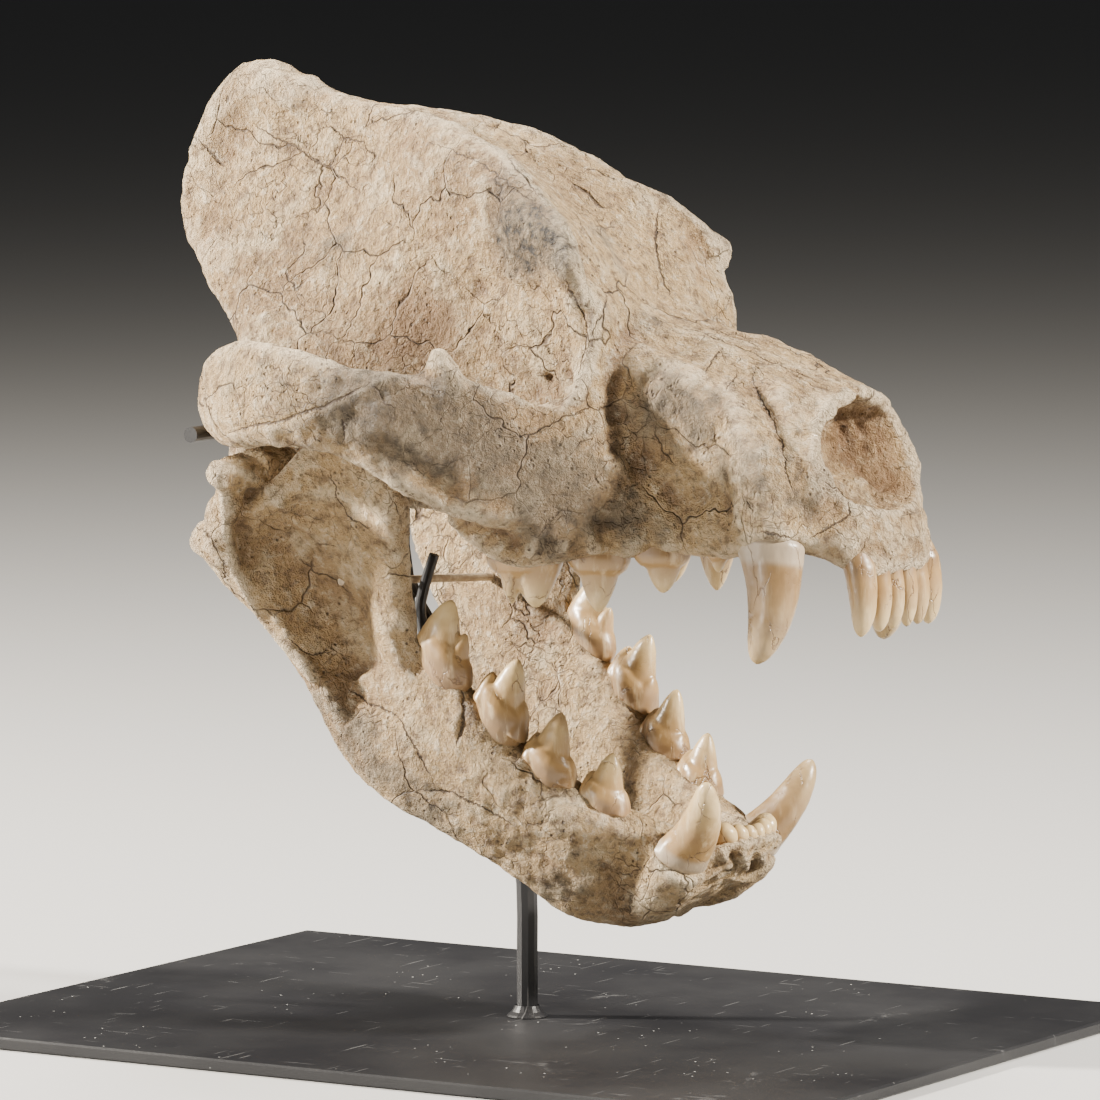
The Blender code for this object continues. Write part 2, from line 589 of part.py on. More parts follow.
def round_tube(name, route, radius, collection, steps, smooth=True):
    """Round bar along a route, as a bevelled curve made a mesh."""
    points = smooth_rows(route, steps) if smooth else np.array(route, float)
    curve = bpy.data.curves.new(name, "CURVE")
    curve.dimensions = "3D"
    curve.bevel_depth = radius
    curve.bevel_resolution = 3
    curve.use_fill_caps = True
    spline = curve.splines.new("POLY")
    spline.points.add(len(points) - 1)
    for spot, place in zip(spline.points, points):
        spot.co = (*place, 1)
    guide = bpy.data.objects.new(name + "_guide", curve)
    collection.objects.link(guide)
    mesh = bpy.data.meshes.new_from_object(
        guide.evaluated_get(bpy.context.evaluated_depsgraph_get()))
    bpy.data.objects.remove(guide)
    bm = bmesh.new()
    bm.from_mesh(mesh)
    bmesh.ops.remove_doubles(bm, verts=bm.verts, dist=1e-3)
    bpy.data.meshes.remove(mesh)
    return object_from(bm, name, collection)


def straight_bar(name, ends, radius, collection, grow=0.0, sides=16):
    """Round bar between two points; a cutter's is longer and thicker by grow."""
    start, end = (Vector(spot) for spot in ends)
    longer = (end - start).normalized() * grow
    bm = bmesh.new()
    add_rod(bm, start - longer, end + longer, radius + grow, sides)
    return object_from(bm, name, collection)


def weld_collar(collection):
    """Ring of weld round the rod's foot, on the plate."""
    profile = [(ROD_RADIUS + GAP, WELD_RINGS[0][0])]
    profile += [(radius, height) for height, radius in WELD_RINGS]
    profile.append((ROD_RADIUS + GAP, WELD_RINGS[-1][0]))
    bm = bmesh.new()
    verts = [bm.verts.new((radius, 0, height)) for radius, height in profile]
    edges = [bm.edges.new((verts[k], verts[(k + 1) % len(verts)])) for k in range(len(verts))]
    bmesh.ops.spin(bm, geom=verts + edges, cent=(0, 0, 0), axis=(0, 0, 1), angle=2 * math.pi,
                   steps=20, use_merge=True)
    bmesh.ops.recalc_face_normals(bm, faces=bm.faces)
    return object_from(bm, "weld_collar", collection)


def fork(collection):
    """Two prongs grown from one foot."""
    bm = bmesh.new()
    for route in (FORK_LONG, FORK_SHORT):
        rows = [(x, FORK_Y, z, PRONG_RADIUS, PRONG_RADIUS) for x, z in route]
        add_sweep(bm, rows, count=16)
    piece = object_from(bm, "fork_prong", collection)
    fuse(piece, 0.7)
    thin_to(piece, FORK_TRIANGLES)
    return piece


def build_stand(cranium, mandible, collection, cutters):
    """Plate, rod, bars and fork, with the channels they take in the bone."""
    bevelled_plate(collection)
    round_tube("support_rod", ROD_ROUTE, ROD_RADIUS, collection, 19)
    weld_collar(collection)
    fork(collection)

    bar_x, bar_z = BAR_AT
    bar_ends = ((bar_x, -BAR_HALF, bar_z), (bar_x, BAR_HALF, bar_z))
    straight_bar("rear_crossbar", bar_ends, BAR_RADIUS, collection)
    cut(cranium, as_cutter(straight_bar("bar_channel", bar_ends, BAR_RADIUS, cutters, GAP, 12)))

    straight_bar("jaw_crossbar", CROSSBAR_ENDS, CROSSBAR_RADIUS, collection, sides=12)
    cut(mandible, as_cutter(straight_bar("jaw_bar_wells", CROSSBAR_ENDS, CROSSBAR_RADIUS,
                                         cutters, GAP, 10)))

    top = Vector(ROD_ROUTE[-1])
    socket = (top - Vector((0, 0, 32)), top)
    cut(cranium, as_cutter(straight_bar("rod_socket", socket, ROD_RADIUS, cutters,
                                        GAP + 0.3, 12)))


def paint(piece, colour_name):
    material = bpy.data.materials.get(colour_name)
    if material is None:
        colour, roughness, metallic = COLOURS[colour_name]
        material = bpy.data.materials.new(colour_name)
        material.use_nodes = True
        shader = material.node_tree.nodes["Principled BSDF"]
        shader.inputs["Base Color"].default_value = (*colour, 1)
        shader.inputs["Roughness"].default_value = roughness
        shader.inputs["Metallic"].default_value = metallic
    piece.data.materials.clear()
    piece.data.materials.append(material)


def main():
    for old in list(bpy.data.objects):
        bpy.data.objects.remove(old)
    skull = bpy.data.collections.new("fossil_skull")
    cutters = bpy.data.collections.new("cutters")
    for collection in (skull, cutters):
        bpy.context.scene.collection.children.link(collection)

    cranium = cranium_body(skull)
    cut(cranium, cranium_hollows(cutters))
    fuse(cranium, BONE_VOXEL, smooth=2)
    thin_to(cranium, CRANIUM_TRIANGLES)
    mandible = mandible_body(skull)
    thin_to(mandible, MANDIBLE_TRIANGLES)

    for well in build_teeth("upper", UPPER_PEGS, UPPER_CHEEK, skull, cutters):
        cut(cranium, well)
    for well in build_teeth("lower", LOWER_PEGS, LOWER_CHEEK, skull, cutters):
        cut(mandible, well)

    build_stand(cranium, mandible, skull, cutters)
    drop_crumbs(cranium)
    drop_crumbs(mandible)
    for piece in skull.objects:
        if piece.name in ("cranium", "mandible"):
            paint(piece, "bone")
        elif piece.name.startswith(("upper", "lower")):
            paint(piece, "enamel")
        elif piece.name == "jaw_crossbar":
            paint(piece, "bone_paint")
        else:
            paint(piece, "black_steel")
        piece.data.transform(Matrix.Scale(MM, 4))
    for cutter in cutters.objects:
        cutter.data.transform(Matrix.Scale(MM, 4))


main()
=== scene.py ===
import math

import bmesh
import bpy
import numpy as np
from mathutils import Matrix, Vector, noise
from mathutils.bvhtree import BVHTree
from mathutils.kdtree import KDTree
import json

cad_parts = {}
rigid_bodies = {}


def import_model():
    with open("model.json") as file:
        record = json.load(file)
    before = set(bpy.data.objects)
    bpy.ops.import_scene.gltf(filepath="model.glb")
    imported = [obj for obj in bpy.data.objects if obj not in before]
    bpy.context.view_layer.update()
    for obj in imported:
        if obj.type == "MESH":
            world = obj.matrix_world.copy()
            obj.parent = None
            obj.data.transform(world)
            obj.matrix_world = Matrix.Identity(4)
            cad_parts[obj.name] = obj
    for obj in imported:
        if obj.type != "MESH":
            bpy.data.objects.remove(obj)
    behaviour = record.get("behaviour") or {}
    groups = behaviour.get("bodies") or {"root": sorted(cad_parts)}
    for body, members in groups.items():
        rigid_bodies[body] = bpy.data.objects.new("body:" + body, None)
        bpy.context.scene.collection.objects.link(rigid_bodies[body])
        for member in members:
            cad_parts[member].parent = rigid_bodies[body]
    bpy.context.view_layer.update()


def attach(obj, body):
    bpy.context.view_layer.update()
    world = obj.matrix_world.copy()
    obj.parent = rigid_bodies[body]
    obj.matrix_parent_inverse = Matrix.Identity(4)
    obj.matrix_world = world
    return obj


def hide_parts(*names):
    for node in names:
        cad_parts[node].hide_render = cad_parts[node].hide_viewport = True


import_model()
sceneLinks = bpy.context.scene.collection.objects
sides = {"right": -1, "left": 1}

# Shapes are millimetres until a piece is finished. The camera stands where the
# photograph was taken: its frame is 1100 units wide, u to the right and v down.
camera = {"focal": 8000.0, "frame": 1100.0, "distance": 3140.0, "elevation": 5.75,
          "azimuth": 31.0, "aim": (7.71, 4.64, 190.0)}
azimuth, elevation = math.radians(camera["azimuth"]), math.radians(camera["elevation"])
backward = Vector((math.sin(azimuth) * math.cos(elevation),
                   -math.cos(azimuth) * math.cos(elevation), math.sin(elevation)))
rightward = Vector((math.cos(azimuth), math.sin(azimuth), 0))
upward = backward.cross(rightward)
eye = Vector(camera["aim"]) + backward * camera["distance"]


def pictureRay(u, v):
    half = camera["frame"] / 2
    return (rightward * (u - half) + upward * (half - v)) / camera["focal"] - backward


def makeCamera():
    data = bpy.data.cameras.new("photo_camera")
    data.sensor_width = 36
    data.lens = camera["focal"] * 36 / camera["frame"]
    data.clip_end = 40
    piece = bpy.data.objects.new("photo_camera", data)
    sceneLinks.link(piece)
    turn = Matrix((rightward, upward, backward)).transposed().to_4x4()
    piece.matrix_world = Matrix.Translation(eye * 0.001) @ turn
    bpy.context.scene.camera = piece


def distances(rows):
    # How far along the line each of its points lies
    return np.concatenate([[0.0], np.cumsum(np.linalg.norm(np.diff(rows, axis=0), axis=1))])


def smoothRows(rows, count):
    rows = np.array(rows, float)
    knots = distances(rows)
    slopes = np.gradient(rows, knots, axis=0)
    at = np.linspace(0.0, knots[-1], count)
    low = np.clip(np.searchsorted(knots, at, side="right") - 1, 0, len(rows) - 2)
    span = (knots[low + 1] - knots[low])[:, None]
    t = (at - knots[low])[:, None] / span
    return ((2 * t**3 - 3 * t**2 + 1) * rows[low] + (t**3 - 2 * t**2 + t) * span * slopes[low]
            + (3 * t**2 - 2 * t**3) * rows[low + 1] + (t**3 - t**2) * span * slopes[low + 1])


def closedRing(points, count):
    points = list(points)
    looped = np.array([*points[-2:], *points, *points[:3]], float)
    dense = smoothRows(looped, 40 * len(looped))
    half = len(dense) // 2
    start = np.argmin(np.linalg.norm(dense[:half] - looped[2], axis=1))
    end = half + np.argmin(np.linalg.norm(dense[half:] - looped[2], axis=1))
    loop = dense[start:end + 1]
    lengths = distances(loop)
    at = np.linspace(0.0, lengths[-1], count, endpoint=False)
    return np.stack([np.interp(at, lengths, loop[:, axis]) for axis in range(loop.shape[1])], 1)


def addLoft(bm, rings):
    rings = np.array(rings, float)
    along, around = rings.shape[0] - 1, rings.shape[1]
    made = bmesh.ops.create_grid(bm, x_segments=along, y_segments=around, size=0.5)["verts"]
    for vert in made:
        ring = round((vert.co.x + 0.5) * along)
        spot = round((vert.co.y + 0.5) * around) % around
        vert.co = rings[ring, spot]
    bmesh.ops.remove_doubles(bm, verts=made, dist=1e-5)
    made = [vert for vert in made if vert.is_valid]
    rims = {edge for vert in made for edge in vert.link_edges if edge.is_boundary}
    bmesh.ops.holes_fill(bm, edges=list(rims), sides=0)
    faces = {face for vert in made for face in vert.link_faces}
    bmesh.ops.recalc_face_normals(bm, faces=list(faces))


def ovalRing(centre, first, second, count):
    # A ring about the centre through the ends of its two half axes
    angles = (2 * math.pi * step / count for step in range(count))
    return [centre + first * math.cos(a) + second * math.sin(a) for a in angles]


def addSweep(bm, rows, side, count=28, perStep=6):
    path = smoothRows(rows, perStep * (len(rows) - 1) + 1)
    path[:, 3:] = np.maximum(path[:, 3:], 0.8)
    centres = path[:, :3] * (1, side, 1)
    tangents = np.gradient(centres, axis=0)
    rings = []
    for centre, tangent, (high, wide) in zip(centres, tangents, path[:, 3:5]):
        forward = Vector(tangent).normalized()
        roughUp = Vector((0, 0, 1)) if abs(forward.z) < 0.92 else Vector((1, 0, 0))
        across = forward.cross(roughUp).normalized()
        up = across.cross(forward)
        rings.append(ovalRing(Vector(centre), across * wide, up * high, count))
    addLoft(bm, rings)


def addBall(bm, centre, radii, side=1, lean=0.0):
    place = (Matrix.Translation((centre[0], centre[1] * side, centre[2]))
             @ Matrix.Rotation(math.radians(lean), 4, "Y") @ Matrix.Diagonal((*radii, 1)))
    bmesh.ops.create_uvsphere(bm, u_segments=48, v_segments=28, radius=1, matrix=place)


def addRod(bm, start, end, radius, count=32):
    axis = Vector(end) - Vector(start)
    place = (Matrix.Translation((Vector(start) + Vector(end)) / 2)
             @ axis.to_track_quat("Z", "Y").to_matrix().to_4x4())
    bmesh.ops.create_cone(bm, cap_ends=True, segments=count, radius1=radius, radius2=radius,
                          depth=axis.length, matrix=place)


def pieceFrom(bm, name):
    mesh = bpy.data.meshes.new(name)
    bm.to_mesh(mesh)
    bm.free()
    piece = bpy.data.objects.new(name, mesh)
    sceneLinks.link(piece)
    return piece


def bake(piece):
    shaped = bpy.data.meshes.new_from_object(
        piece.evaluated_get(bpy.context.evaluated_depsgraph_get()))
    piece.modifiers.clear()
    old, piece.data = piece.data, shaped
    bpy.data.meshes.remove(old)
    shaped.name = piece.name


def fuse(piece, voxel, smooth=0):
    remesh = piece.modifiers.new("Fuse", "REMESH")
    remesh.mode = "VOXEL"
    remesh.voxel_size = voxel
    remesh.adaptivity = 0.0
    if smooth:
        soften = piece.modifiers.new("Soften", "SMOOTH")
        soften.iterations = smooth
    bake(piece)


def cut(piece, cutter):
    boolean = piece.modifiers.new("Cut", "BOOLEAN")
    boolean.operation = "DIFFERENCE"
    boolean.solver = "EXACT"
    boolean.object = cutter
    bake(piece)
    bpy.data.objects.remove(cutter)


def readSkin(piece):
    count = len(piece.data.vertices)
    spots = np.empty(count * 3)
    piece.data.vertices.foreach_get("co", spots)
    normals = np.empty(count * 3, np.float32)
    piece.data.vertex_normals.foreach_get("vector", normals)
    return spots.reshape(-1, 3), normals.reshape(-1, 3).astype(float)


def writeSkin(piece, spots):
    piece.data.vertices.foreach_set("co", spots.ravel())
    piece.data.update()


def roughen(spots, normals, size, depth, octaves, seed):
    shift = Vector((seed, seed * 1.7, -seed))
    rise = np.array([noise.fractal(Vector(spot) / size + shift, 0.8, 2.1, octaves)
                     for spot in spots]) * depth
    spots += normals * rise[:, None]


def nearest(spots, points, reach):
    points = np.array(points, float)
    tree = KDTree(len(points))
    for index, point in enumerate(points):
        tree.insert(point, index)
    tree.balance()
    away = np.full(len(spots), 1e6)
    which = np.zeros(len(spots), int)
    low, high = points.min(0) - reach, points.max(0) + reach
    for index in np.nonzero(((spots > low) & (spots < high)).all(1))[0]:
        _, found, distance = tree.find(spots[index])
        away[index], which[index] = distance, found
    return away, which


def stroke(spots, normals, points, radius, height, sharp=2.0):
    # Raise or sink the skin along a row of points and its mirror image
    for side in (1, -1):
        away, _ = nearest(spots, np.array(points) * (1, side, 1), radius * 2.2)
        spots += normals * (height * np.exp(-(away / radius) ** sharp))[:, None]


def skinTree(piece):
    return BVHTree.FromPolygons([vert.co for vert in piece.data.vertices],
                                [tuple(face.vertices) for face in piece.data.polygons])


def carve(piece, strokes):
    # Strokes drawn over the picture: radius, height and line, dropped on the skin
    tree = skinTree(piece)
    spots, normals = readSkin(piece)
    for radius, height, line in strokes:
        if len(line) > 1:
            line = smoothRows(line, 6 * len(line))
        points = [spot for spot in (seenOn(tree, u, v)[0] for u, v in line) if spot]
        if points:
            stroke(spots, normals, points, radius, height)
    writeSkin(piece, spots)


def ledge(piece, width, height, line, softness=0.9):
    # A broken edge: beside a line drawn downward the skin on its right stands higher
    tree = skinTree(piece)
    spots, normals = readSkin(piece)
    points, across, _ = traceLines(tree, [(1.0, line)])
    for side in (1, -1):
        flip = np.array((1, side, 1))
        away, which = nearest(spots, points * flip, width * 2)
        offset = ((spots - points[which] * flip) * across[which] * flip).sum(1)
        rise = 0.5 - 0.5 * np.tanh(offset / softness)
        spots += normals * (height * rise * np.exp(-(away / width) ** 2))[:, None]
    writeSkin(piece, spots)


def seenOn(tree, u, v):
    spot, normal, _, _ = tree.ray_cast(eye, pictureRay(u, v).normalized())
    return spot, normal


def traceLines(tree, lines):
    # Lines drawn over the picture, dropped on the skin: points, side direction and width
    points, across, widths = [], [], []
    for width, line in lines:
        line = np.array(line, float)
        lengths = distances(line)
        at = np.arange(0, lengths[-1], 1.5)
        us, vs = np.interp(at, lengths, line[:, 0]), np.interp(at, lengths, line[:, 1])
        wobble = [noise.noise(Vector((u * 0.11, v * 0.11, 3.1))) * 2.2 for u, v in zip(us, vs)]
        hits = [seenOn(tree, u + w, v - w) for u, v, w in zip(us, vs, wobble)]
        for index in range(len(hits) - 1):
            (here, normal), (there, _) = hits[index], hits[index + 1]
            if here is None or there is None or (there - here).length > 5:
                continue
            taper = min(1.0, 5 * index / len(hits), 5 * (1 - index / len(hits)))
            points.append(here)
            across.append((there - here).cross(normal).normalized())
            widths.append(width * (0.25 + 0.75 * taper))
    return np.array(points), np.array(across), np.array(widths)


def setAttribute(piece, name, values):
    layer = piece.data.attributes.get(name) or piece.data.attributes.new(name, "FLOAT", "POINT")
    layer.data.foreach_set("value", np.asarray(values, np.float32))


def crackAttributes(piece, lines, depth=0.45):
    spots, normals = readSkin(piece)
    tree = skinTree(piece)
    points, across, widths = traceLines(tree, lines)
    away, which = nearest(spots, points, 4)
    offset = ((spots - points[which]) * across[which]).sum(1)
    near = away < 2.8
    setAttribute(piece, "crackSide", np.where(near, np.sign(offset) * away, 3.0))
    setAttribute(piece, "crackWide", np.where(near, widths[which], 0.0))
    spots -= normals * (depth * np.minimum(widths[which], 1.6)
                        * np.exp(-(away / 1.3) ** 2))[:, None]
    writeSkin(piece, spots)
    return tree


def blots(piece, tree, name, marks, mirror=0.7):
    # Soft spots of a tone: u, v in the picture, radius in mm, strength
    spots, _ = readSkin(piece)
    total = np.zeros(len(spots))
    for u, v, radius, strength in marks:
        centre, _ = seenOn(tree, u, v)
        if centre is None:
            continue
        for side, share in ((1, 1.0), (-1, mirror)):
            away = np.linalg.norm((spots - Vector((centre.x, centre.y * side, centre.z))), axis=1)
            total += strength * share * np.exp(-(away / radius) ** 2.6)
    setAttribute(piece, name, np.clip(total, 0, 1))


def cavity(piece, reach, rounds=14):
    # How far each point lies under the softened skin round it: hollows count up to 1
    spots, normals = readSkin(piece)
    edges = np.empty(len(piece.data.edges) * 2, int)
    piece.data.edges.foreach_get("vertices", edges)
    edges = edges.reshape(-1, 2)
    degree = np.bincount(edges.ravel(), minlength=len(spots))[:, None]
    soft = spots.copy()
    for _ in range(rounds):
        total = np.zeros_like(soft)
        for axis in range(3):
            total[:, axis] = (np.bincount(edges[:, 0], soft[edges[:, 1], axis], len(soft))
                              + np.bincount(edges[:, 1], soft[edges[:, 0], axis], len(soft)))
        soft = total / degree
    under = ((soft - spots) * normals).sum(1)
    setAttribute(piece, "cavity", np.clip(under / reach, -1, 1))


def finishPiece(piece, material, node):
    piece.data.transform(Matrix.Scale(0.001, 4))
    piece.data.shade_smooth()
    piece.data.materials.clear()
    piece.data.materials.append(material)
    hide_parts(node)
    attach(piece, "root")


def weather(piece, form, strokes, ledges=()):
    # Carved forms, two coarse grains, what is drawn over the picture, holes, the fine grain
    spots, normals = readSkin(piece)
    for points, radius, height in form["ridges"] + form["furrows"]:
        stroke(spots, normals, smoothRows(points, 8 * len(points)), radius, height)
    *coarse, fine = form["grain"]
    for grain in coarse:
        roughen(spots, normals, *grain)
    writeSkin(piece, spots)
    carve(piece, strokes)
    for width, height, line in ledges:
        ledge(piece, width, height, line)
    spots, normals = readSkin(piece)
    for place, radius, depth in form["holes"]:
        stroke(spots, normals, [place], radius * 1.6, 0.5)  # worn lip
        stroke(spots, normals, [place], radius, -depth, sharp=4.0)
    roughen(spots, normals, *fine)
    writeSkin(piece, spots)


def finishBone(piece, node, cracks, tones, hollowDepth):
    tree = crackAttributes(piece, cracks)
    for tone, marks in tones.items():
        blots(piece, tree, tone, marks)
    cavity(piece, hollowDepth)
    finishPiece(piece, boneLook, node)
    print("stage:", node, len(piece.data.polygons))


class Look:
    # Builds one procedural material; its textures lie in object space, in metres
    def __init__(self, name):
        self.material = bpy.data.materials.new(name)
        self.material.use_nodes = True
        self.tree = self.material.node_tree
        self.shader = self.tree.nodes["Principled BSDF"]
        self.place = self.add("ShaderNodeTexCoord").outputs["Object"]
        self.colour = None

    def add(self, kind, **settings):
        node = self.tree.nodes.new(kind)
        for name, value in settings.items():
            setattr(node, name, value)
        return node

    def feed(self, socket, value):
        if isinstance(value, bpy.types.NodeSocket):
            self.tree.links.new(value, socket)
        elif socket.type == "RGBA":
            socket.default_value = (*value, 1)
        else:
            socket.default_value = value

    def math(self, operation, first, second=0.0):
        node = self.add("ShaderNodeMath", operation=operation)
        self.feed(node.inputs[0], first)
        self.feed(node.inputs[1], second)
        return node.outputs[0]

    def times(self, first, second):
        return self.math("MULTIPLY", first, second)

    def total(self, parts):
        # Weighted sum: pairs of a value and its weight, a minus sign taking it away
        result = self.times(*parts[0])
        for value, weight in parts[1:]:
            way = "ADD" if weight > 0 else "SUBTRACT"
            result = self.math(way, result, self.times(value, abs(weight)))
        return result

    def noise(self, scale, detail, rough, place=None, colour=False):
        node = self.add("ShaderNodeTexNoise")
        self.feed(node.inputs["Vector"], place or self.place)
        for name, value in (("Scale", scale), ("Detail", detail), ("Roughness", rough)):
            node.inputs[name].default_value = value
        return node.outputs["Color" if colour else "Fac"]

    def cells(self, scale, feature="F1", place=None):
        node = self.add("ShaderNodeTexVoronoi", feature=feature)
        self.feed(node.inputs["Vector"], place or self.place)
        node.inputs["Scale"].default_value = scale
        return node.outputs["Distance"]

    def attribute(self, name):
        return self.add("ShaderNodeAttribute", attribute_name=name).outputs["Fac"]

    def ramp(self, value, low, high, start=0.0, end=1.0):
        node = self.add("ShaderNodeMapRange", interpolation_type="SMOOTHSTEP")
        for socket, number in zip(node.inputs, (value, low, high, start, end)):
            self.feed(socket, number)
        return node.outputs[0]

    def paint(self, colour, share):
        # Lays a colour over the colour so far; the first call only sets the ground
        if self.colour is None:
            self.colour = colour
            return
        node = self.add("ShaderNodeMix", data_type="RGBA")
        for slot, value in ((0, share), (6, self.colour), (7, colour)):
            self.feed(node.inputs[slot], value)
        self.colour = node.outputs[2]

    def moved(self, scale=(1, 1, 1), push=None, amount=0.0):
        node = self.add("ShaderNodeVectorMath", operation="MULTIPLY")
        self.feed(node.inputs[0], self.place)
        node.inputs[1].default_value = scale
        if push is None:
            return node.outputs[0]
        shift = self.add("ShaderNodeVectorMath", operation="MULTIPLY_ADD")
        self.feed(shift.inputs[0], push)
        shift.inputs[1].default_value = (amount,) * 3
        self.feed(shift.inputs[2], node.outputs[0])
        return shift.outputs[0]

    def bump(self, height, distance, strength=1.0):
        node = self.add("ShaderNodeBump")
        node.inputs["Strength"].default_value = strength
        node.inputs["Distance"].default_value = distance
        self.feed(node.inputs["Height"], height)
        return node.outputs[0]

    def finish(self, roughness, normal=None, **values):
        self.feed(self.shader.inputs["Base Color"], self.colour)
        self.feed(self.shader.inputs["Roughness"], roughness)
        if normal is not None:
            self.feed(self.shader.inputs["Normal"], normal)
        for name, value in values.items():
            self.shader.inputs[name.replace("_", " ")].default_value = value
        return self.material


def boneMaterial():
    look = Look("boneLook")
    middle, fine = look.noise(70, 5, 0.62), look.noise(420, 3, 0.6)
    grain, rugged = look.noise(1500, 2, 0.6), look.noise(190, 6, 0.72)
    hollow = look.attribute("cavity")
    look.paint((0.60, 0.405, 0.20), 1)
    look.paint((0.38, 0.24, 0.115), look.ramp(look.noise(14, 3, 0.6), 0.42, 0.66))
    look.paint((0.84, 0.665, 0.42), look.ramp(middle, 0.46, 0.70, 0, 0.85))
    look.paint((0.40, 0.235, 0.115), look.ramp(look.noise(33, 5, 0.68), 0.52, 0.76, 0, 0.65))
    # Darker brown where the skin lies in a hollow: painted shading, partly brown matrix lodged in the
    # recesses
    look.paint((0.25, 0.15, 0.08), look.ramp(hollow, 0.12, 0.85, 0, 0.8))
    # Lighter on the raised parts of the skin: painted highlight
    look.paint((0.90, 0.76, 0.54), look.ramp(hollow, -0.15, -0.8, 0, 0.55))
    look.paint((0.27, 0.215, 0.16), look.ramp(fine, 0.55, 0.70, 0, 0.55))
    look.paint((0.88, 0.77, 0.60), look.ramp(grain, 0.58, 0.78, 0, 0.35))
    # Blackish brown where the rugged relief of the bump lies low: painted shading in its pits
    look.paint((0.19, 0.12, 0.066), look.ramp(rugged, 0.50, 0.36, 0, 0.75))
    # Pale where the same relief stands high: painted highlight
    look.paint((0.95, 0.82, 0.60), look.ramp(rugged, 0.53, 0.66, 0, 0.5))
    # Tones placed on the skin: greyish stain, on the cheek arch partly painted shading; brown and near
    # black, both partly painted shading in hollows and holes
    greyStainAndShade = look.math("ADD", look.attribute("grey"), look.ramp(middle, 0.3, 0.7, -0.3, 0.3))
    look.paint((0.125, 0.098, 0.068), look.times(look.ramp(greyStainAndShade, 0.15, 0.85),
                                                 look.ramp(rugged, 0.3, 0.65, 0.9, 0.65)))
    # Brown in the nose opening, the temple hollow, the eye socket and the jaw's muscle hollow: partly
    # the bone's reddish tone, partly painted shading in these hollows
    look.paint((0.21, 0.115, 0.05), look.times(look.attribute("tan"),
                                               look.ramp(fine, 0.2, 0.7, 0.55, 1.0)))
    # Near black in the rough brow hollow and in small holes: partly blackish bone, partly painted shadow
    # under the overhanging temporal line and inside the holes
    look.paint((0.045, 0.043, 0.042), look.times(look.attribute("dark"),
                                                 look.ramp(rugged, 0.35, 0.62, 0.98, 0.6)))

    # Cracks: wide plates, fine crumbs and the drawn lines
    bent = look.moved(push=look.noise(36, 3, 0.65, colour=True), amount=0.022)
    plates = look.cells(30, "DISTANCE_TO_EDGE", bent)
    wide = look.times(look.ramp(plates, 0.0, 0.016, 1.0, 0),
                      look.ramp(look.noise(20, 2, 0.5), 0.44, 0.60))
    bentFine = look.moved(push=look.noise(110, 2, 0.6, colour=True), amount=0.009)
    crumbs = look.cells(105, "DISTANCE_TO_EDGE", bentFine)
    thin = look.times(look.ramp(crumbs, 0.0, 0.027, 0.65, 0),
                      look.ramp(look.noise(26, 2, 0.6), 0.46, 0.60))
    wobble = look.ramp(look.noise(700, 1, 0.6), 0.2, 0.8, -0.35, 0.35)
    line = look.math("ABSOLUTE", look.math("ADD", look.attribute("crackSide"), wobble))
    line = look.math("DIVIDE", line, look.math("MAXIMUM", look.attribute("crackWide"), 0.02))
    cracks = look.math("MAXIMUM", look.math("MAXIMUM", wide, thin),
                       look.ramp(line, 0.2, 0.7, 1, 0))
    look.paint((0.085, 0.052, 0.032), look.times(cracks, 0.84))
    pits = look.times(look.ramp(look.cells(310), 0.10, 0.24, 1, 0),
                      look.ramp(look.noise(48, 2, 0.6), 0.50, 0.62))
    look.paint((0.10, 0.065, 0.042), look.times(pits, 0.75))

    height = look.total([(middle, 1.3), (rugged, 1.5), (fine, 0.5), (grain, 0.28),
                         (cracks, -0.75), (pits, -0.7)])
    return look.finish(look.ramp(middle, 0.3, 0.7, 0.58, 0.80), look.bump(height, 0.0075),
                       Specular_IOR_Level=0.35)


def enamelMaterial():
    look = Look("enamelLook")
    crown, cloud = look.attribute("crown"), look.noise(60, 5, 0.6)
    streak = look.noise(300, 4, 0.62, look.moved((1, 1, 0.16)))
    look.paint((0.34, 0.21, 0.085), 1)
    look.paint((0.56, 0.41, 0.20), look.ramp(crown, 0.3, 0.95))
    look.paint((0.19, 0.115, 0.055), look.ramp(crown, 0.24, 0.04, 0, 0.8))
    look.paint((0.72, 0.56, 0.34), look.ramp(streak, 0.50, 0.72, 0, 0.5))
    look.paint((0.25, 0.145, 0.065), look.ramp(cloud, 0.50, 0.74, 0, 0.65))
    # Darker brown by each tooth's value: painted shading, darkest on the canines
    look.paint((0.17, 0.105, 0.05), look.times(look.attribute("shade"),
                                               look.ramp(cloud, 0.25, 0.65, 0.9, 0.5)))
    band = look.times(look.attribute("band"), look.ramp(crown, 0.20, 0.13))
    look.paint((0.46, 0.40, 0.31), look.times(band, 0.45))
    bent = look.moved((1, 1, 0.35), look.noise(120, 4, 0.6, colour=True), 0.006)
    cracks = look.times(look.ramp(look.cells(120, "DISTANCE_TO_EDGE", bent), 0, 0.03, 1, 0),
                        look.ramp(look.noise(80, 3, 0.5), 0.47, 0.6))
    look.paint((0.12, 0.065, 0.03), look.times(cracks, 0.8))
    height = look.total([(streak, 0.5), (cracks, -1)])
    return look.finish(look.ramp(cloud, 0.3, 0.7, 0.26, 0.46), look.bump(height, 0.00035, 0.7),
                       Specular_IOR_Level=0.5, Coat_Weight=0.12, Coat_Roughness=0.25)


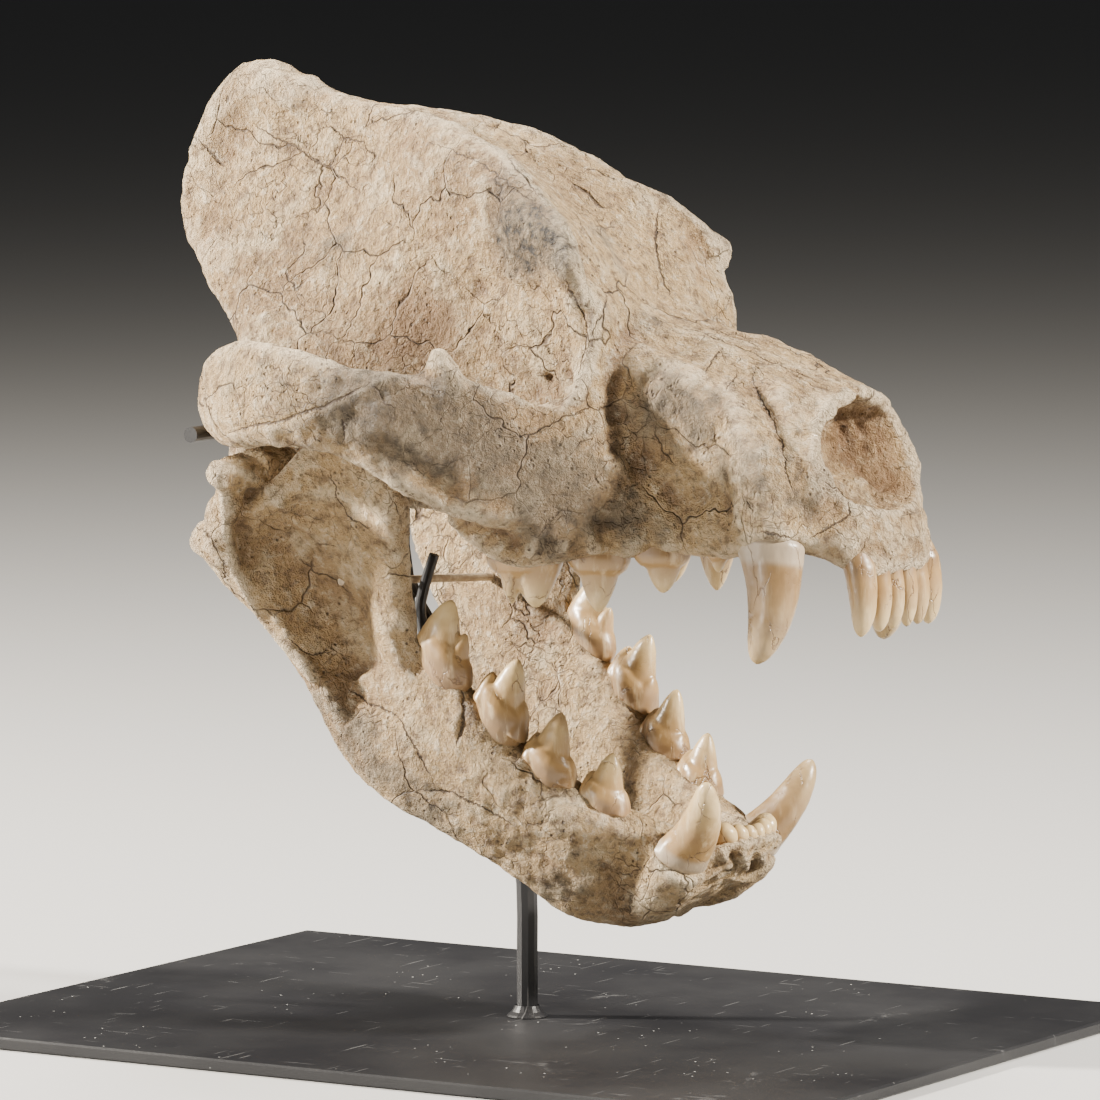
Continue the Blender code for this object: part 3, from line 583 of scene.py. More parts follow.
def steelMaterial():
    look = Look("black_steelLook")
    cloud = look.noise(9, 5, 0.6)
    bent = look.moved(push=look.noise(7, 2, 0.5, colour=True), amount=0.25)
    along = look.ramp(look.noise(22, 2, 0.5, look.moved((30, 1.2, 1))), 0.705, 0.73)
    across = look.ramp(look.noise(18, 2, 0.5, look.moved((1.6, 34, 1))), 0.715, 0.74)
    scratches = look.math("MAXIMUM", along, across)
    specks = look.times(look.ramp(look.cells(170), 0.045, 0.09, 1, 0),
                        look.ramp(look.noise(23, 3, 0.5), 0.53, 0.62))
    stain = look.ramp(look.noise(16, 9, 0.74, bent), 0.60, 0.70)
    look.paint((0.010, 0.010, 0.0115), 1)
    look.paint((0.019, 0.019, 0.020), look.ramp(cloud, 0.35, 0.7))
    look.paint((0.13, 0.13, 0.13), look.times(scratches, 0.45))
    look.paint((0.10, 0.10, 0.10), look.times(stain, 0.5))
    look.paint((0.62, 0.62, 0.60), look.times(specks, 0.8))
    rough = look.math("ADD", look.ramp(cloud, 0.3, 0.7, 0.40, 0.44),
                      look.times(look.math("MAXIMUM", scratches, stain), 0.2))
    height = look.total([(look.noise(900, 3, 0.6), 1), (specks, 0.6)])
    return look.finish(rough, look.bump(height, 0.00012, 0.5), Specular_IOR_Level=0.35)


def paintMaterial():
    look = Look("bone_paintLook")
    cloud = look.noise(160, 5, 0.6)
    look.paint((0.50, 0.40, 0.27), 1)
    look.paint((0.33, 0.245, 0.155), look.ramp(cloud, 0.42, 0.65))
    return look.finish(0.6, look.bump(cloud, 0.0003, 0.6))


boneLook, enamelLook = boneMaterial(), enamelMaterial()
steelLook, paintLook = steelMaterial(), paintMaterial()
makeCamera()
print("stage: camera and materials")

# The skull: rows of the body from nape to incisors are x, then eight (y, z) points
# from the top midline down one side; swept rows are x, y, z, half height, half width
cranium = {
    "voxel": 1.65,
    "hollowVoxel": 1.4,
    # Grain of the skin: size, height, octaves and seed, the last one the finest
    "grain": [(26, 0.8, 2, 4.0), (9, 0.7, 3, 9.0), (3.2, 0.26, 2, 2.0)],
    "vault": [
        (-160.5, 0, 325, 2, 324, 3, 322, 3, 320, 3, 318, 3, 316, 2, 314, 0, 313),
        (-156, 0, 343, 5, 341, 6, 335, 6, 328, 7, 321, 8, 314, 6, 309, 0, 307),
        (-147, 0, 364, 6, 361, 8, 349, 8, 335, 10, 320, 14, 307, 10, 300, 0, 298),
        (-134, 0, 378, 6, 374, 9, 360, 11, 340, 16, 318, 24, 298, 20, 288, 0, 284),
        (-120, 0, 380, 6, 377, 9, 360, 13, 338, 21, 314, 31, 293, 24, 276, 0, 262),
        (-106, 0, 375.5, 6, 373, 10, 355, 16, 330, 26, 306, 40, 281, 38, 252, 0, 228),
        (-90, 0, 368, 6, 365, 11, 348, 18, 326, 31, 300, 46, 274, 46, 240, 0, 217),
        (-70, 0, 364, 7, 361, 13, 345, 22, 320, 35, 296, 47, 270, 42, 238, 0, 215),
        (-50, 0, 361, 10, 361, 18, 346, 27, 320, 38, 296, 46, 270, 37, 236, 0, 217),
        (-25, 0, 352, 20, 357, 31, 345, 34, 321, 38, 295, 42, 268, 29, 234, 0, 220),
        (0, 0, 341, 29, 348, 38, 338, 38, 315, 39, 290, 40, 264, 27, 232, 0, 221),
        (25, 0, 325, 41, 333, 52, 320, 46, 304, 43, 286, 44, 262, 34, 222, 0, 211),
        (46, 0, 306, 48, 315, 57, 305, 48, 292, 44, 276, 49, 252, 47, 212, 0, 204),
        (60, 0, 288, 33, 292, 44, 286, 47, 275, 48, 262, 51, 240, 51, 206, 0, 202),
        (76, 0, 281, 20, 280.5, 31, 274, 40, 262, 46, 243, 50, 219, 48, 200, 0, 202),
        (100, 0, 275.5, 18, 275, 32, 267, 42, 254, 47, 236, 48, 218, 45, 200, 0, 203),
        (120, 0, 268.5, 19, 267.5, 30, 259, 38, 248, 45, 232, 49, 215, 46, 201, 0, 205),
        (138, 0, 261.5, 18, 260.5, 29, 253, 36, 243, 41, 230, 45, 215, 43, 203, 0, 205),
        (149, 0, 257, 14, 256.5, 26, 249, 34, 241, 38, 231, 40, 215, 37, 200, 0, 201),
        (156, 0, 249, 12, 247, 22, 240, 29, 230, 33, 220, 35, 209, 33, 197, 0, 197),
        (162, 0, 224, 11, 223, 19, 220, 25, 215, 29, 209, 31, 203, 29, 194, 0, 193),
        (167, 0, 209, 9, 208, 16, 206, 21, 203, 24, 199, 26, 196, 23, 192, 0, 191),
        (170, 0, 203, 5, 202.5, 9, 201, 13, 199, 15, 197, 15, 195, 11, 192, 0, 192),
    ],
    "cheekArch": [
        (70, 44, 228, 20, 12), (60, 55, 230, 24, 13), (46, 70, 229, 24, 10), (29, 88, 237, 26, 8),
        (10, 103, 244.5, 22.5, 7), (-12, 112, 251, 18, 7), (-36, 116, 256, 19, 8.5),
        (-58, 110, 256, 21, 12), (-72, 98, 254, 20, 15), (-77, 80, 252, 18, 15),
        (-78, 56, 250, 17, 16), (-78, 38, 250, 16, 16),
    ],
    "cheekKnob": [(20, 95, 257, 11, 7), (19.5, 95.5, 268, 7, 5), (19, 96, 277, 3, 3)],
    "cheekFoot": [(62, 54, 209, 12, 9), (48, 61, 205, 13, 10), (34, 67, 204, 13, 8),
                  (20, 83, 218, 11, 6)],
    "browHorn": [(20, 38, 327, 9, 12), (38, 49, 316, 9, 10), (49, 55, 307, 7, 7),
                 (54, 58, 303, 4, 4)],
    "orbitRim": [(51, 54, 303, 4, 4), (53, 52, 293, 4, 4), (56, 51, 282, 4, 4),
                 (57, 52, 270, 4.5, 4), (56, 59, 256, 5, 4), (48, 70, 249, 5, 4),
                 (36, 80, 252, 5, 3.5), (27, 87, 258, 5, 3.5)],
    "napeCrest": [(-155, 3, 316, 5, 4), (-144, 9, 305, 5, 5), (-124, 23, 287, 5, 5),
                  (-102, 39, 272, 6, 6), (-91, 50, 257, 7, 7), (-86, 56, 240, 8, 8)],
    "earSpur": [(-95, 48, 244, 9, 8), (-101, 46, 226, 8, 7), (-104, 44, 212, 5, 5)],
    "gumRidge": [(132, 41, 206, 9, 12), (108, 38, 204, 8, 9), (84, 39.5, 204, 9, 10),
                 (60, 45.5, 202, 9, 11), (38, 53, 202, 9, 11), (18, 55, 206, 7, 9)],
    "eyePillar": [(40, 46, 300, 11, 8), (49, 45, 290, 12, 8), (54, 44, 278, 13, 9),
                  (56, 45, 264, 13, 9), (57, 50, 250, 12, 10), (58, 52, 238, 11, 10)],
    "snoutSide": [(46, 38, 262, 20, 11), (60, 38, 260, 21, 12.5), (76, 37.5, 252, 22, 12),
                  (92, 36.5, 246, 21, 11.5), (108, 36, 240, 18, 10)],
    "canineSwell": [(133, 41.5, 204, 14.5, 12.6), (133, 41, 210, 15, 12.6),
                    (128, 40, 228, 13, 11), (118, 37, 244, 11, 9), (105, 33, 256, 9, 7)],
    "palateWing": [(14, 24, 208, 8, 4), (-10, 21, 210, 9, 3.4), (-34, 18, 213, 8, 3),
                   (-46, 17, 209, 5, 2.6)],
    "earCapsule": ((-76, 27, 221), (18, 13, 13)),
    "neckKnuckle": ((-111, 17, 234), (11, 12, 14)),
    # Hollows: centre, half sizes and lean about Y in degrees
    "orbit": ((32, 66, 282), (23, 21, 24), 0),
    "middleHollows": [((157, 0, 236), (17, 38, 23), -17), ((148, 0, 239), (17, 26, 16), -10),
                      ((-30, 0, 210), (34, 13, 14), 0), ((-121, 0, 256), (22, 13, 10), -20)],
    "jointHollow": ((-75, 44, 224), (-75, 118, 224), 9.4),  # a rod: both ends and radius
    # Forms carved on the skin: points, radius, height, on both sides
    "ridges": [
        ([(-100, 4, 371), (-55, 7, 360), (-30, 14, 356), (-8, 23, 349), (7, 28, 344.5),
          (31, 39, 332), (47, 47, 320), (54, 56, 305)], 4.5, 1.5),
        ([(100, 30, 266), (112, 34, 250), (122, 41, 232), (128, 45, 214)], 8.0, 1.6),
        ([(24, 90, 262), (0, 108, 266), (-30, 116, 273), (-60, 110, 272)], 5.0, 1.0),
        ([(66, 60, 226), (46, 76, 216), (26, 94, 214), (6, 108, 224)], 5.0, 1.4),
        ([(152, 20, 252), (150, 31, 241), (155, 34, 228), (160, 28, 217)], 3.4, 1.3),
        ([(-150, 5, 330), (-140, 8, 350), (-122, 9, 370)], 7.0, 0.8),
    ],
    "furrows": [
        ([(-130, 12, 348), (-104, 16, 344), (-84, 18, 340)], 16.0, -2.6),
        ([(-60, 44, 292), (-30, 40, 290), (-6, 39, 292)], 15.0, -2.2),
        ([(104, 46, 226), (92, 48, 222)], 10.0, -2.6),
        ([(138, 45, 222), (144, 40, 215), (149, 36, 207)], 4.0, -0.9),
        ([(34, 44, 300), (20, 40, 296), (6, 39, 300)], 9.0, -2.0),
        ([(-12, 112, 238), (-36, 116, 240), (-58, 112, 238)], 4.0, -1.0),
    ],
    # Round holes: place, radius, depth
    "holes": [((37, 44, 262), 3.2, 4.0), ((26, 42, 282), 2.4, 3.0),
              ((12, 40, 276), 2.6, 3.0), ((20, 41, 262), 2.0, 2.5), ((36, 45, 294), 2.2, 3.0)],
}

craniumStrokes = [
    # Furrow from the eye's inner corner past the infraorbital hole to the cheek teeth
    (7.5, -2.0, [(640, 322), (620, 352), (611, 378), (613, 410), (621, 440), (646, 467), (672, 498)]),
    (3.0, -1.4, [(636, 326), (614, 360), (610, 392), (616, 436), (640, 468)]),
    (2.6, -3.4, [(612, 434), (616, 448)]),
    # Swollen side of the snout over the canine's root, and the strip in front of it
    (15.0, 2.6, [(694, 384), (706, 424), (735, 478)]),
    (6.5, 1.5, [(776, 384), (792, 412), (799, 450), (820, 488)]),
    (4.0, 1.2, [(653, 402), (664, 378), (690, 356), (720, 347)]),
    (6.0, -1.6, [(690, 510), (712, 496), (724, 505)]),
    (5.0, -1.5, [(812, 520), (838, 512), (850, 500)]),
    # Cheekbone: swollen root under the eye, thin lower rim of the socket
    (15.0, 2.4, [(545, 480), (510, 470), (480, 455)]),
    (7.0, -1.8, [(560, 505), (585, 492), (598, 470)]),
    (4.0, -1.6, [(385, 448), (420, 470), (450, 492)]),
    # Inside of the nose: grooves and the torn edges of the turbinates
    (3.4, -1.5, [(838, 402), (842, 430), (852, 462), (880, 490)]),
    (2.6, 1.0, [(862, 404), (868, 430), (876, 452)]),
    (2.2, 1.3, [(832, 398), (822, 415), (816, 440), (818, 462), (830, 480), (850, 492)]),
    (2.4, 1.1, [(850, 470), (866, 484), (886, 494)]), (2.2, 1.0, [(846, 424), (856, 440), (858, 456)]),
    (2.0, -1.0, [(852, 396), (858, 412)]), (2.0, -1.3, [(872, 470)]), (1.8, -1.3, [(862, 448)]),
    # Torn nasal tips over the opening
    (3.0, 2.4, [(862, 391), (872, 398), (882, 406)]),
    (2.6, -1.4, [(846, 372), (872, 388)]),
    # Socket wall: bulge, groove and pits; the rim beside it
    (12.0, 2.0, [(520, 310), (530, 340)]),
    (3.2, -2.2, [(517, 346), (528, 368), (538, 390)]),
    (2.0, -1.8, [(481, 330)]), (2.0, -2.2, [(567, 372), (572, 382)]), (1.9, -2.0, [(562, 395)]),
    (2.2, -1.6, [(484, 291), (478, 284)]), (1.5, -1.2, [(548, 318)]), (1.5, -1.2, [(502, 318)]),
    (4.0, 1.4, [(560, 262), (580, 292), (590, 326), (584, 362), (574, 396)]),
    # Brow: rough hollow behind the temporal line
    (11.0, -3.4, [(508, 196), (524, 224), (532, 250)]),
    (3.0, 1.6, [(484, 264), (506, 273), (530, 277), (556, 282)]),
    (2.0, -1.2, [(505, 185), (520, 215), (528, 250)]), (2.0, -1.2, [(520, 190), (538, 225), (545, 258)]),
    (2.0, 1.0, [(512, 190), (530, 222), (538, 255)]),
    # Crest and braincase
    (4.0, 1.1, [(214, 118), (236, 96), (262, 92), (290, 104)]),
    (11.0, -1.6, [(236, 140), (226, 180), (240, 214)]),
    (9.0, 1.5, [(300, 182), (322, 214), (352, 240)]),
    (9.0, -1.6, [(286, 316), (330, 330), (378, 336)]),
    (5.0, 1.3, [(266, 318), (300, 322), (320, 338)]),
    (4.0, 1.0, [(362, 130), (400, 150), (440, 184), (466, 206)]),
    # Crumbled edge of the bone over the upper cheek teeth
    *((3.0, height, [(u, v)]) for u, v, height in (
        (500, 545, 1.6), (514, 548, -1.5), (530, 549, 1.7), (546, 547, -1.6), (562, 546, 1.5),
        (578, 549, -1.5), (594, 549, 1.7), (612, 547, -1.6), (630, 545, 1.5), (650, 548, -1.4),
        (668, 545, 1.3), (690, 543, -1.2), (480, 536, 1.4), (466, 528, -1.4))),
]

# Broken edges: width, height and line
craniumLedges = [
    (7.0, 1.2, [(756, 364), (755, 380), (770, 415), (783, 444), (785, 475), (796, 498)]),
    (4.0, 0.8, [(371, 382), (350, 393), (325, 406), (285, 420), (240, 430)]),
    (3.5, 0.7, [(254, 124), (292, 145), (330, 169), (360, 192)]),
    (3.5, 0.7, [(574, 184), (605, 208)]),
    (8.0, 2.4, [(566, 266), (580, 288), (588, 318), (588, 346), (580, 376), (568, 398)]),
    (4.0, 0.7, [(810, 538), (834, 524), (850, 515), (848, 498)]),
]


def vaultRings():
    rings = []
    for row in smoothRows(cranium["vault"], 160):
        half = [(row[k], row[k + 1]) for k in range(1, 17, 2)]
        half[0] = (0.0, half[0][1])
        half[-1] = (0.0, half[-1][1])
        ring = closedRing(half + [(-y, z) for y, z in half[-2:0:-1]], 96)
        rings.append([(row[0], y, z) for y, z in ring])
    return rings


def craniumHollows():
    bm = bmesh.new()
    for side in sides.values():
        centre, radii, lean = cranium["orbit"]
        addBall(bm, centre, radii, side, lean)
        inner, outer, radius = cranium["jointHollow"]
        addRod(bm, *(Vector((x, side * y, z)) for x, y, z in (inner, outer)), radius)
    for centre, radii, lean in cranium["middleHollows"]:
        addBall(bm, centre, radii, lean=lean)
    piece = pieceFrom(bm, "cranium_hollows")
    fuse(piece, cranium["hollowVoxel"])
    return piece


def makeCranium():
    bm = bmesh.new()
    addLoft(bm, vaultRings())
    for side in sides.values():
        for name in ("cheekArch", "cheekKnob", "cheekFoot", "browHorn", "orbitRim", "eyePillar",
                     "napeCrest", "earSpur", "gumRidge", "snoutSide", "canineSwell", "palateWing"):
            addSweep(bm, cranium[name], side)
        addBall(bm, *cranium["earCapsule"], side)
        addBall(bm, *cranium["neckKnuckle"], side)
    piece = pieceFrom(bm, "cranium_skin")
    fuse(piece, cranium["voxel"], smooth=7)
    cut(piece, craniumHollows())
    fuse(piece, cranium["voxel"], smooth=4)
    weather(piece, cranium, craniumStrokes, craniumLedges)
    return piece


# Crack lines: width and line over the picture; tones: u, v, radius in mm and strength
craniumCracks = [
    (1.0, [(508, 157), (517, 170), (527, 180), (537, 194)]),
    (1.6, [(574, 184), (588, 193), (597, 204), (605, 208)]),
    (0.8, [(581, 165), (600, 172), (615, 182)]),
    (0.8, [(576, 211), (583, 228), (595, 245)]),
    (1.2, [(658, 211), (655, 240), (661, 274), (673, 298)]),
    (0.8, [(494, 131), (498, 124), (502, 120)]),
    (1.2, [(202, 141), (211, 152), (223, 166)]),
    (0.8, [(254, 124), (272, 136), (292, 145), (330, 169), (346, 181), (360, 192)]),
    (0.8, [(303, 230), (305, 251), (295, 262), (284, 272), (296, 289), (313, 274)]),
    (0.7, [(317, 130), (332, 126), (345, 138), (362, 142), (376, 156), (366, 172)]),
    (0.7, [(345, 138), (338, 152), (330, 169)]),
    (1.2, [(230, 432), (258, 425), (285, 420), (305, 412), (325, 406), (350, 393), (371, 382)]),
    (0.9, [(371, 382), (378, 393), (385, 403), (394, 406)]),
    (0.8, [(342, 418), (345, 430), (344, 443)]),
    (0.7, [(756, 364), (752, 379), (760, 397), (770, 415), (783, 444), (785, 475), (796, 498)]),
    (0.9, [(810, 538), (834, 524), (850, 515), (848, 498), (836, 488), (823, 482)]),
    (0.8, [(705, 373), (712, 360), (720, 350)]),
    (0.8, [(725, 390), (731, 382), (736, 375)]),
    (1.0, [(761, 531), (776, 535), (792, 538)]),
    (0.9, [(654, 433), (662, 450), (674, 464)]),
    (0.8, [(561, 274), (572, 294), (583, 313), (588, 334), (582, 360), (576, 383)]),
    (0.8, [(650, 318), (694, 330), (742, 348), (788, 368), (822, 384)]),
    (0.6, [(700, 324), (744, 340), (792, 362)]),
    (0.6, [(430, 142), (480, 162), (530, 200), (560, 232)]),
]
craniumTones = {
    # Greyish stain; the marks along the cheek arch are partly painted shading
    "grey": [(665, 400, 16, 0.6), (712, 425, 18, 0.5), (610, 480, 18, 0.4), (540, 470, 22, 0.6),
             (470, 430, 22, 0.85), (400, 415, 22, 0.9), (330, 400, 18, 0.7), (250, 390, 16, 0.3),
             (335, 248, 12, 0.6), (760, 470, 16, 0.6), (820, 500, 14, 0.5), (560, 530, 18, 0.7),
             (640, 530, 14, 0.5), (600, 240, 16, 0.35)],
    # Near black: the rough brow hollow is partly painted shadow under the overhanging temporal line, the
    # small hole under the eye painted shading
    "dark": [(524, 210, 11, 0.9), (538, 235, 12, 1.0), (508, 252, 11, 0.9), (650, 322, 7, 0.7),
             (558, 256, 9, 0.8), (508, 186, 7, 0.6), (500, 226, 9, 0.7), (532, 264, 8, 0.7),
             (616, 445, 4, 0.5)],
    # Brown: partly the bone's reddish tone, partly painted shading in the nose opening, the temple
    # hollow and the eye socket
    "tan": [(850, 425, 14, 1.0), (866, 458, 14, 1.0), (888, 486, 9, 0.8), (425, 328, 18, 0.8),
            (385, 342, 15, 0.5), (330, 335, 16, 0.4), (231, 154, 3, 0.8), (560, 380, 8, 0.5),
            (500, 360, 9, 0.4), (745, 385, 7, 0.5)],
}
finishBone(makeCranium(), "cranium", craniumCracks, craniumTones, 1.6)

# The lower jaw: body rows are the tooth line's x, y, z, the lower border's x, y, z and
# half thickness; ramus rows are z, front edge x, y, back edge x, y, ridge and hollow
mandible = {
    "voxel": 1.35,
    "grain": [(22, 0.75, 2, 14.0), (9, 0.65, 3, 19.0), (3.2, 0.24, 2, 5.0)],
    "body": [
        (-12, 55, 160, -64, 53, 132, 2.5), (-6, 54.5, 152, -47, 52, 107, 8),
        (4, 53, 142, -32, 50, 95, 11),
        (15, 51, 133, -17, 47, 88, 12), (33, 45, 114, 3, 42, 77, 12.5),
        (55, 37.5, 101, 24, 34, 63, 13), (73, 31, 92, 42, 24, 50, 14),
        (88, 25, 85, 60, 13, 47.5, 14),
    ],
    "ramus": [
        (257, -16, 80, -27, 81, 1, 0), (249, -9, 80, -36, 82, 2, 0), (238, -6, 79, -48, 83, 2, 1),
        (226, -6, 76, -60, 84, 3, 2), (215, -8, 74, -74, 85, 5, 5), (207, -9, 72, -90, 83, 7, 7),
        (198, -11, 69, -101, 80, 8, 8), (188, -12, 66, -102, 76, 8, 9),
        (178, -13, 63, -96, 70, 8, 9), (167, -14, 60, -87, 64.5, 8, 9),
        (155, -14, 58, -78, 60, 8, 8.5), (142, -8, 55, -70, 57, 7.5, 7),
        (126, 2, 52, -61, 54.5, 6.5, 4), (112, 3, 50, -54, 52.5, 5, 1), (99, -6, 51, -42, 50, 4, 0),
    ],
    "plateHalf": 3.6,
    "columnHalf": 6.8,
    "knuckle": [(-75, 51, 222, 5, 5), (-75, 60, 224, 7.5, 7.5), (-75, 80, 224.5, 8, 8),
                (-77, 97, 224, 6.5, 6), (-80, 105, 223, 4, 4)],
    "knuckleNeck": [(-77, 94, 221, 6, 6), (-81, 90, 213, 7.5, 6), (-87, 86, 204, 8, 7),
                    (-88, 81, 190, 7, 6)],
    "heel": [(-82, 80, 192, 8, 6), (-92, 80, 194, 8, 6.5), (-102, 80, 198, 6.5, 5.5)],
    "chin": [
        (34, 66, 53, 14), (44, 73, 46.5, 21), (57, 77, 46, 27), (73, 79, 53.5, 30),
        (86, 82, 62, 31), (96, 84, 71, 27), (103, 85, 78, 20), (107, 84.5, 81, 12),
    ],
    "canineSwell": [(60, 21, 62, 12, 11), (72, 23.5, 66, 13.5, 12.5), (82, 27, 73, 13.5, 12.5),
                    (87, 29.6, 78.5, 12, 11.5)],
    "ridges": [([(60, 32, 52), (76, 30, 62)], 8.0, 1.0)],
    "furrows": [([(0, 56, 104), (26, 46, 84)], 9.0, -0.9),
                ([(92, 8, 66), (92, -8, 66)], 9.0, -0.8)],
    "holes": [((44, 44, 78), 2.6, 4.5), ((59, 40, 74), 3.0, 4.5), ((56, 38, 68), 2.0, 3.0),
              ((96, 6, 74), 1.6, 2.5)],
}


def ramusRings(side):
    rings = []
    plateHalf, columnHalf = mandible["plateHalf"], mandible["columnHalf"]
    for z, frontX, frontY, backX, backY, ridge, hollow in smoothRows(mandible["ramus"], 90):
        width, span = frontX - backX, backY - frontY
        swell = min(1.0, width / 36)

        def spot(part, out):
            return frontX - part * width, frontY + part * span + out

        loop = [
            (frontX, frontY), spot(0.1, columnHalf * swell), spot(0.4, plateHalf * swell - hollow),
            spot(0.62, plateHalf * swell - hollow), spot(0.8, max(ridge, plateHalf * swell)),
            (backX, backY), spot(0.82, -plateHalf * swell), spot(0.5, -plateHalf * swell - hollow * 0.8),
            spot(0.12, -columnHalf * swell * 0.8),
        ]
        rings.append([(x, side * y, z) for x, y in closedRing(loop, 72)])
    return rings


def rounded(step, count, power):
    # One spot of a rounded oval: up and out, each from -1 to 1
    angle = 2 * math.pi * step / count
    up, out = math.cos(angle), math.sin(angle)
    return (math.copysign(abs(up) ** power[0], up), math.copysign(abs(out) ** power[1], out))


def jawBodyRings(side):
    rings = []
    for row in smoothRows(mandible["body"], 44):
        top, low, half = Vector(row[0:3]), Vector(row[3:6]), row[6]
        middle, tall = (top + low) / 2, (top - low) / 2
        across = tall.cross(Vector((1, 0, -1))).normalized()
        ring = []
        for step in range(60):
            up, out = rounded(step, 60, (0.7, 0.7))
            spot = middle + tall * up + across * half * out
            ring.append((spot.x, side * spot.y, spot.z))
        rings.append(ring)
    return rings


def chinRings():
    rings = []
    for x, top, low, half in smoothRows(mandible["chin"], 40):
        middle, tall = (top + low) / 2, (top - low) / 2
        ring = []
        for step in range(60):
            up, out = rounded(step, 60, (1, 0.85))
            ring.append((x, half * out, middle + tall * up))
        rings.append(ring)
    return rings


mandibleStrokes = [
    # Crisp rear ridge of the muscle hollow and the groove inside it
    (2.6, 2.4, [(222, 472), (226, 505), (229, 540), (240, 578), (257, 608), (280, 638), (312, 676)]),
    (4.5, -1.4, [(243, 530), (256, 572), (274, 602), (298, 634), (324, 668)]),
    (2.4, 1.4, [(216, 464), (240, 472), (262, 483), (282, 505), (308, 528)]),
    (8.0, -1.6, [(270, 530), (300, 560), (330, 600)]),
    # Front column of the ramus
    (4.0, 1.8, [(392, 500), (394, 540), (397, 580), (402, 622)]),
    (6.0, -1.6, [(370, 500), (368, 550), (364, 600)]),
    # Swollen body under the teeth, and the fold above the front hole
    (10.0, 1.6, [(470, 770), (520, 800), (570, 830)]),
    (4.0, -1.2, [(350, 690), (374, 700), (398, 715)]),
    (3.0, -1.2, [(520, 850), (548, 862), (566, 880)]),
    # Broken sockets in front of the incisors
    (2.2, 2.0, [(722, 852), (728, 864)]), (2.0, -2.6, [(730, 856), (734, 868)]),
    (2.2, 2.2, [(741, 852), (746, 866)]), (2.0, -2.6, [(750, 858), (752, 868)]),
    (2.0, 2.0, [(759, 850), (762, 862)]), (2.4, 1.6, [(730, 876), (742, 880)]),
]


def makeMandible():
    bm = bmesh.new()
    addLoft(bm, chinRings())
    for side in sides.values():
        addLoft(bm, ramusRings(side))
        addLoft(bm, jawBodyRings(side))
        for name in ("knuckle", "knuckleNeck", "heel", "canineSwell"):
            addSweep(bm, mandible[name], side)
    piece = pieceFrom(bm, "mandible_skin")
    fuse(piece, mandible["voxel"], smooth=9)
    weather(piece, mandible, mandibleStrokes)
    return piece


mandibleCracks = [
    (0.9, [(398, 715), (408, 735), (420, 757), (430, 775)]),
    (1.5, [(461, 690), (465, 708), (462, 728), (456, 745)]),
    (0.7, [(330, 470), (338, 500), (352, 520), (372, 528)]),
    (0.7, [(300, 560), (318, 574), (336, 580), (352, 596)]),
    (0.8, [(290, 640), (310, 655), (330, 652)]),
    (0.8, [(420, 790), (450, 792), (480, 806), (512, 824)]),
    (0.8, [(350, 690), (372, 704), (398, 715)]),
]
mandibleTones = {
    "grey": [(330, 720, 18, 0.55), (380, 760, 18, 0.6), (430, 810, 18, 0.5), (560, 890, 14, 0.4),
             (610, 900, 12, 0.4)],
    # Brown: partly painted shading in the jaw's muscle hollow
    "tan": [(300, 560, 15, 0.22), (350, 600, 14, 0.2), (470, 715, 5, 0.7), (720, 870, 9, 0.5)],
    # Near black: painted shading inside a small hole of the jaw
    "dark": [(579, 852, 2.5, 0.5)],
}
finishBone(makeMandible(), "mandible", mandibleCracks, mandibleTones, 1.5)

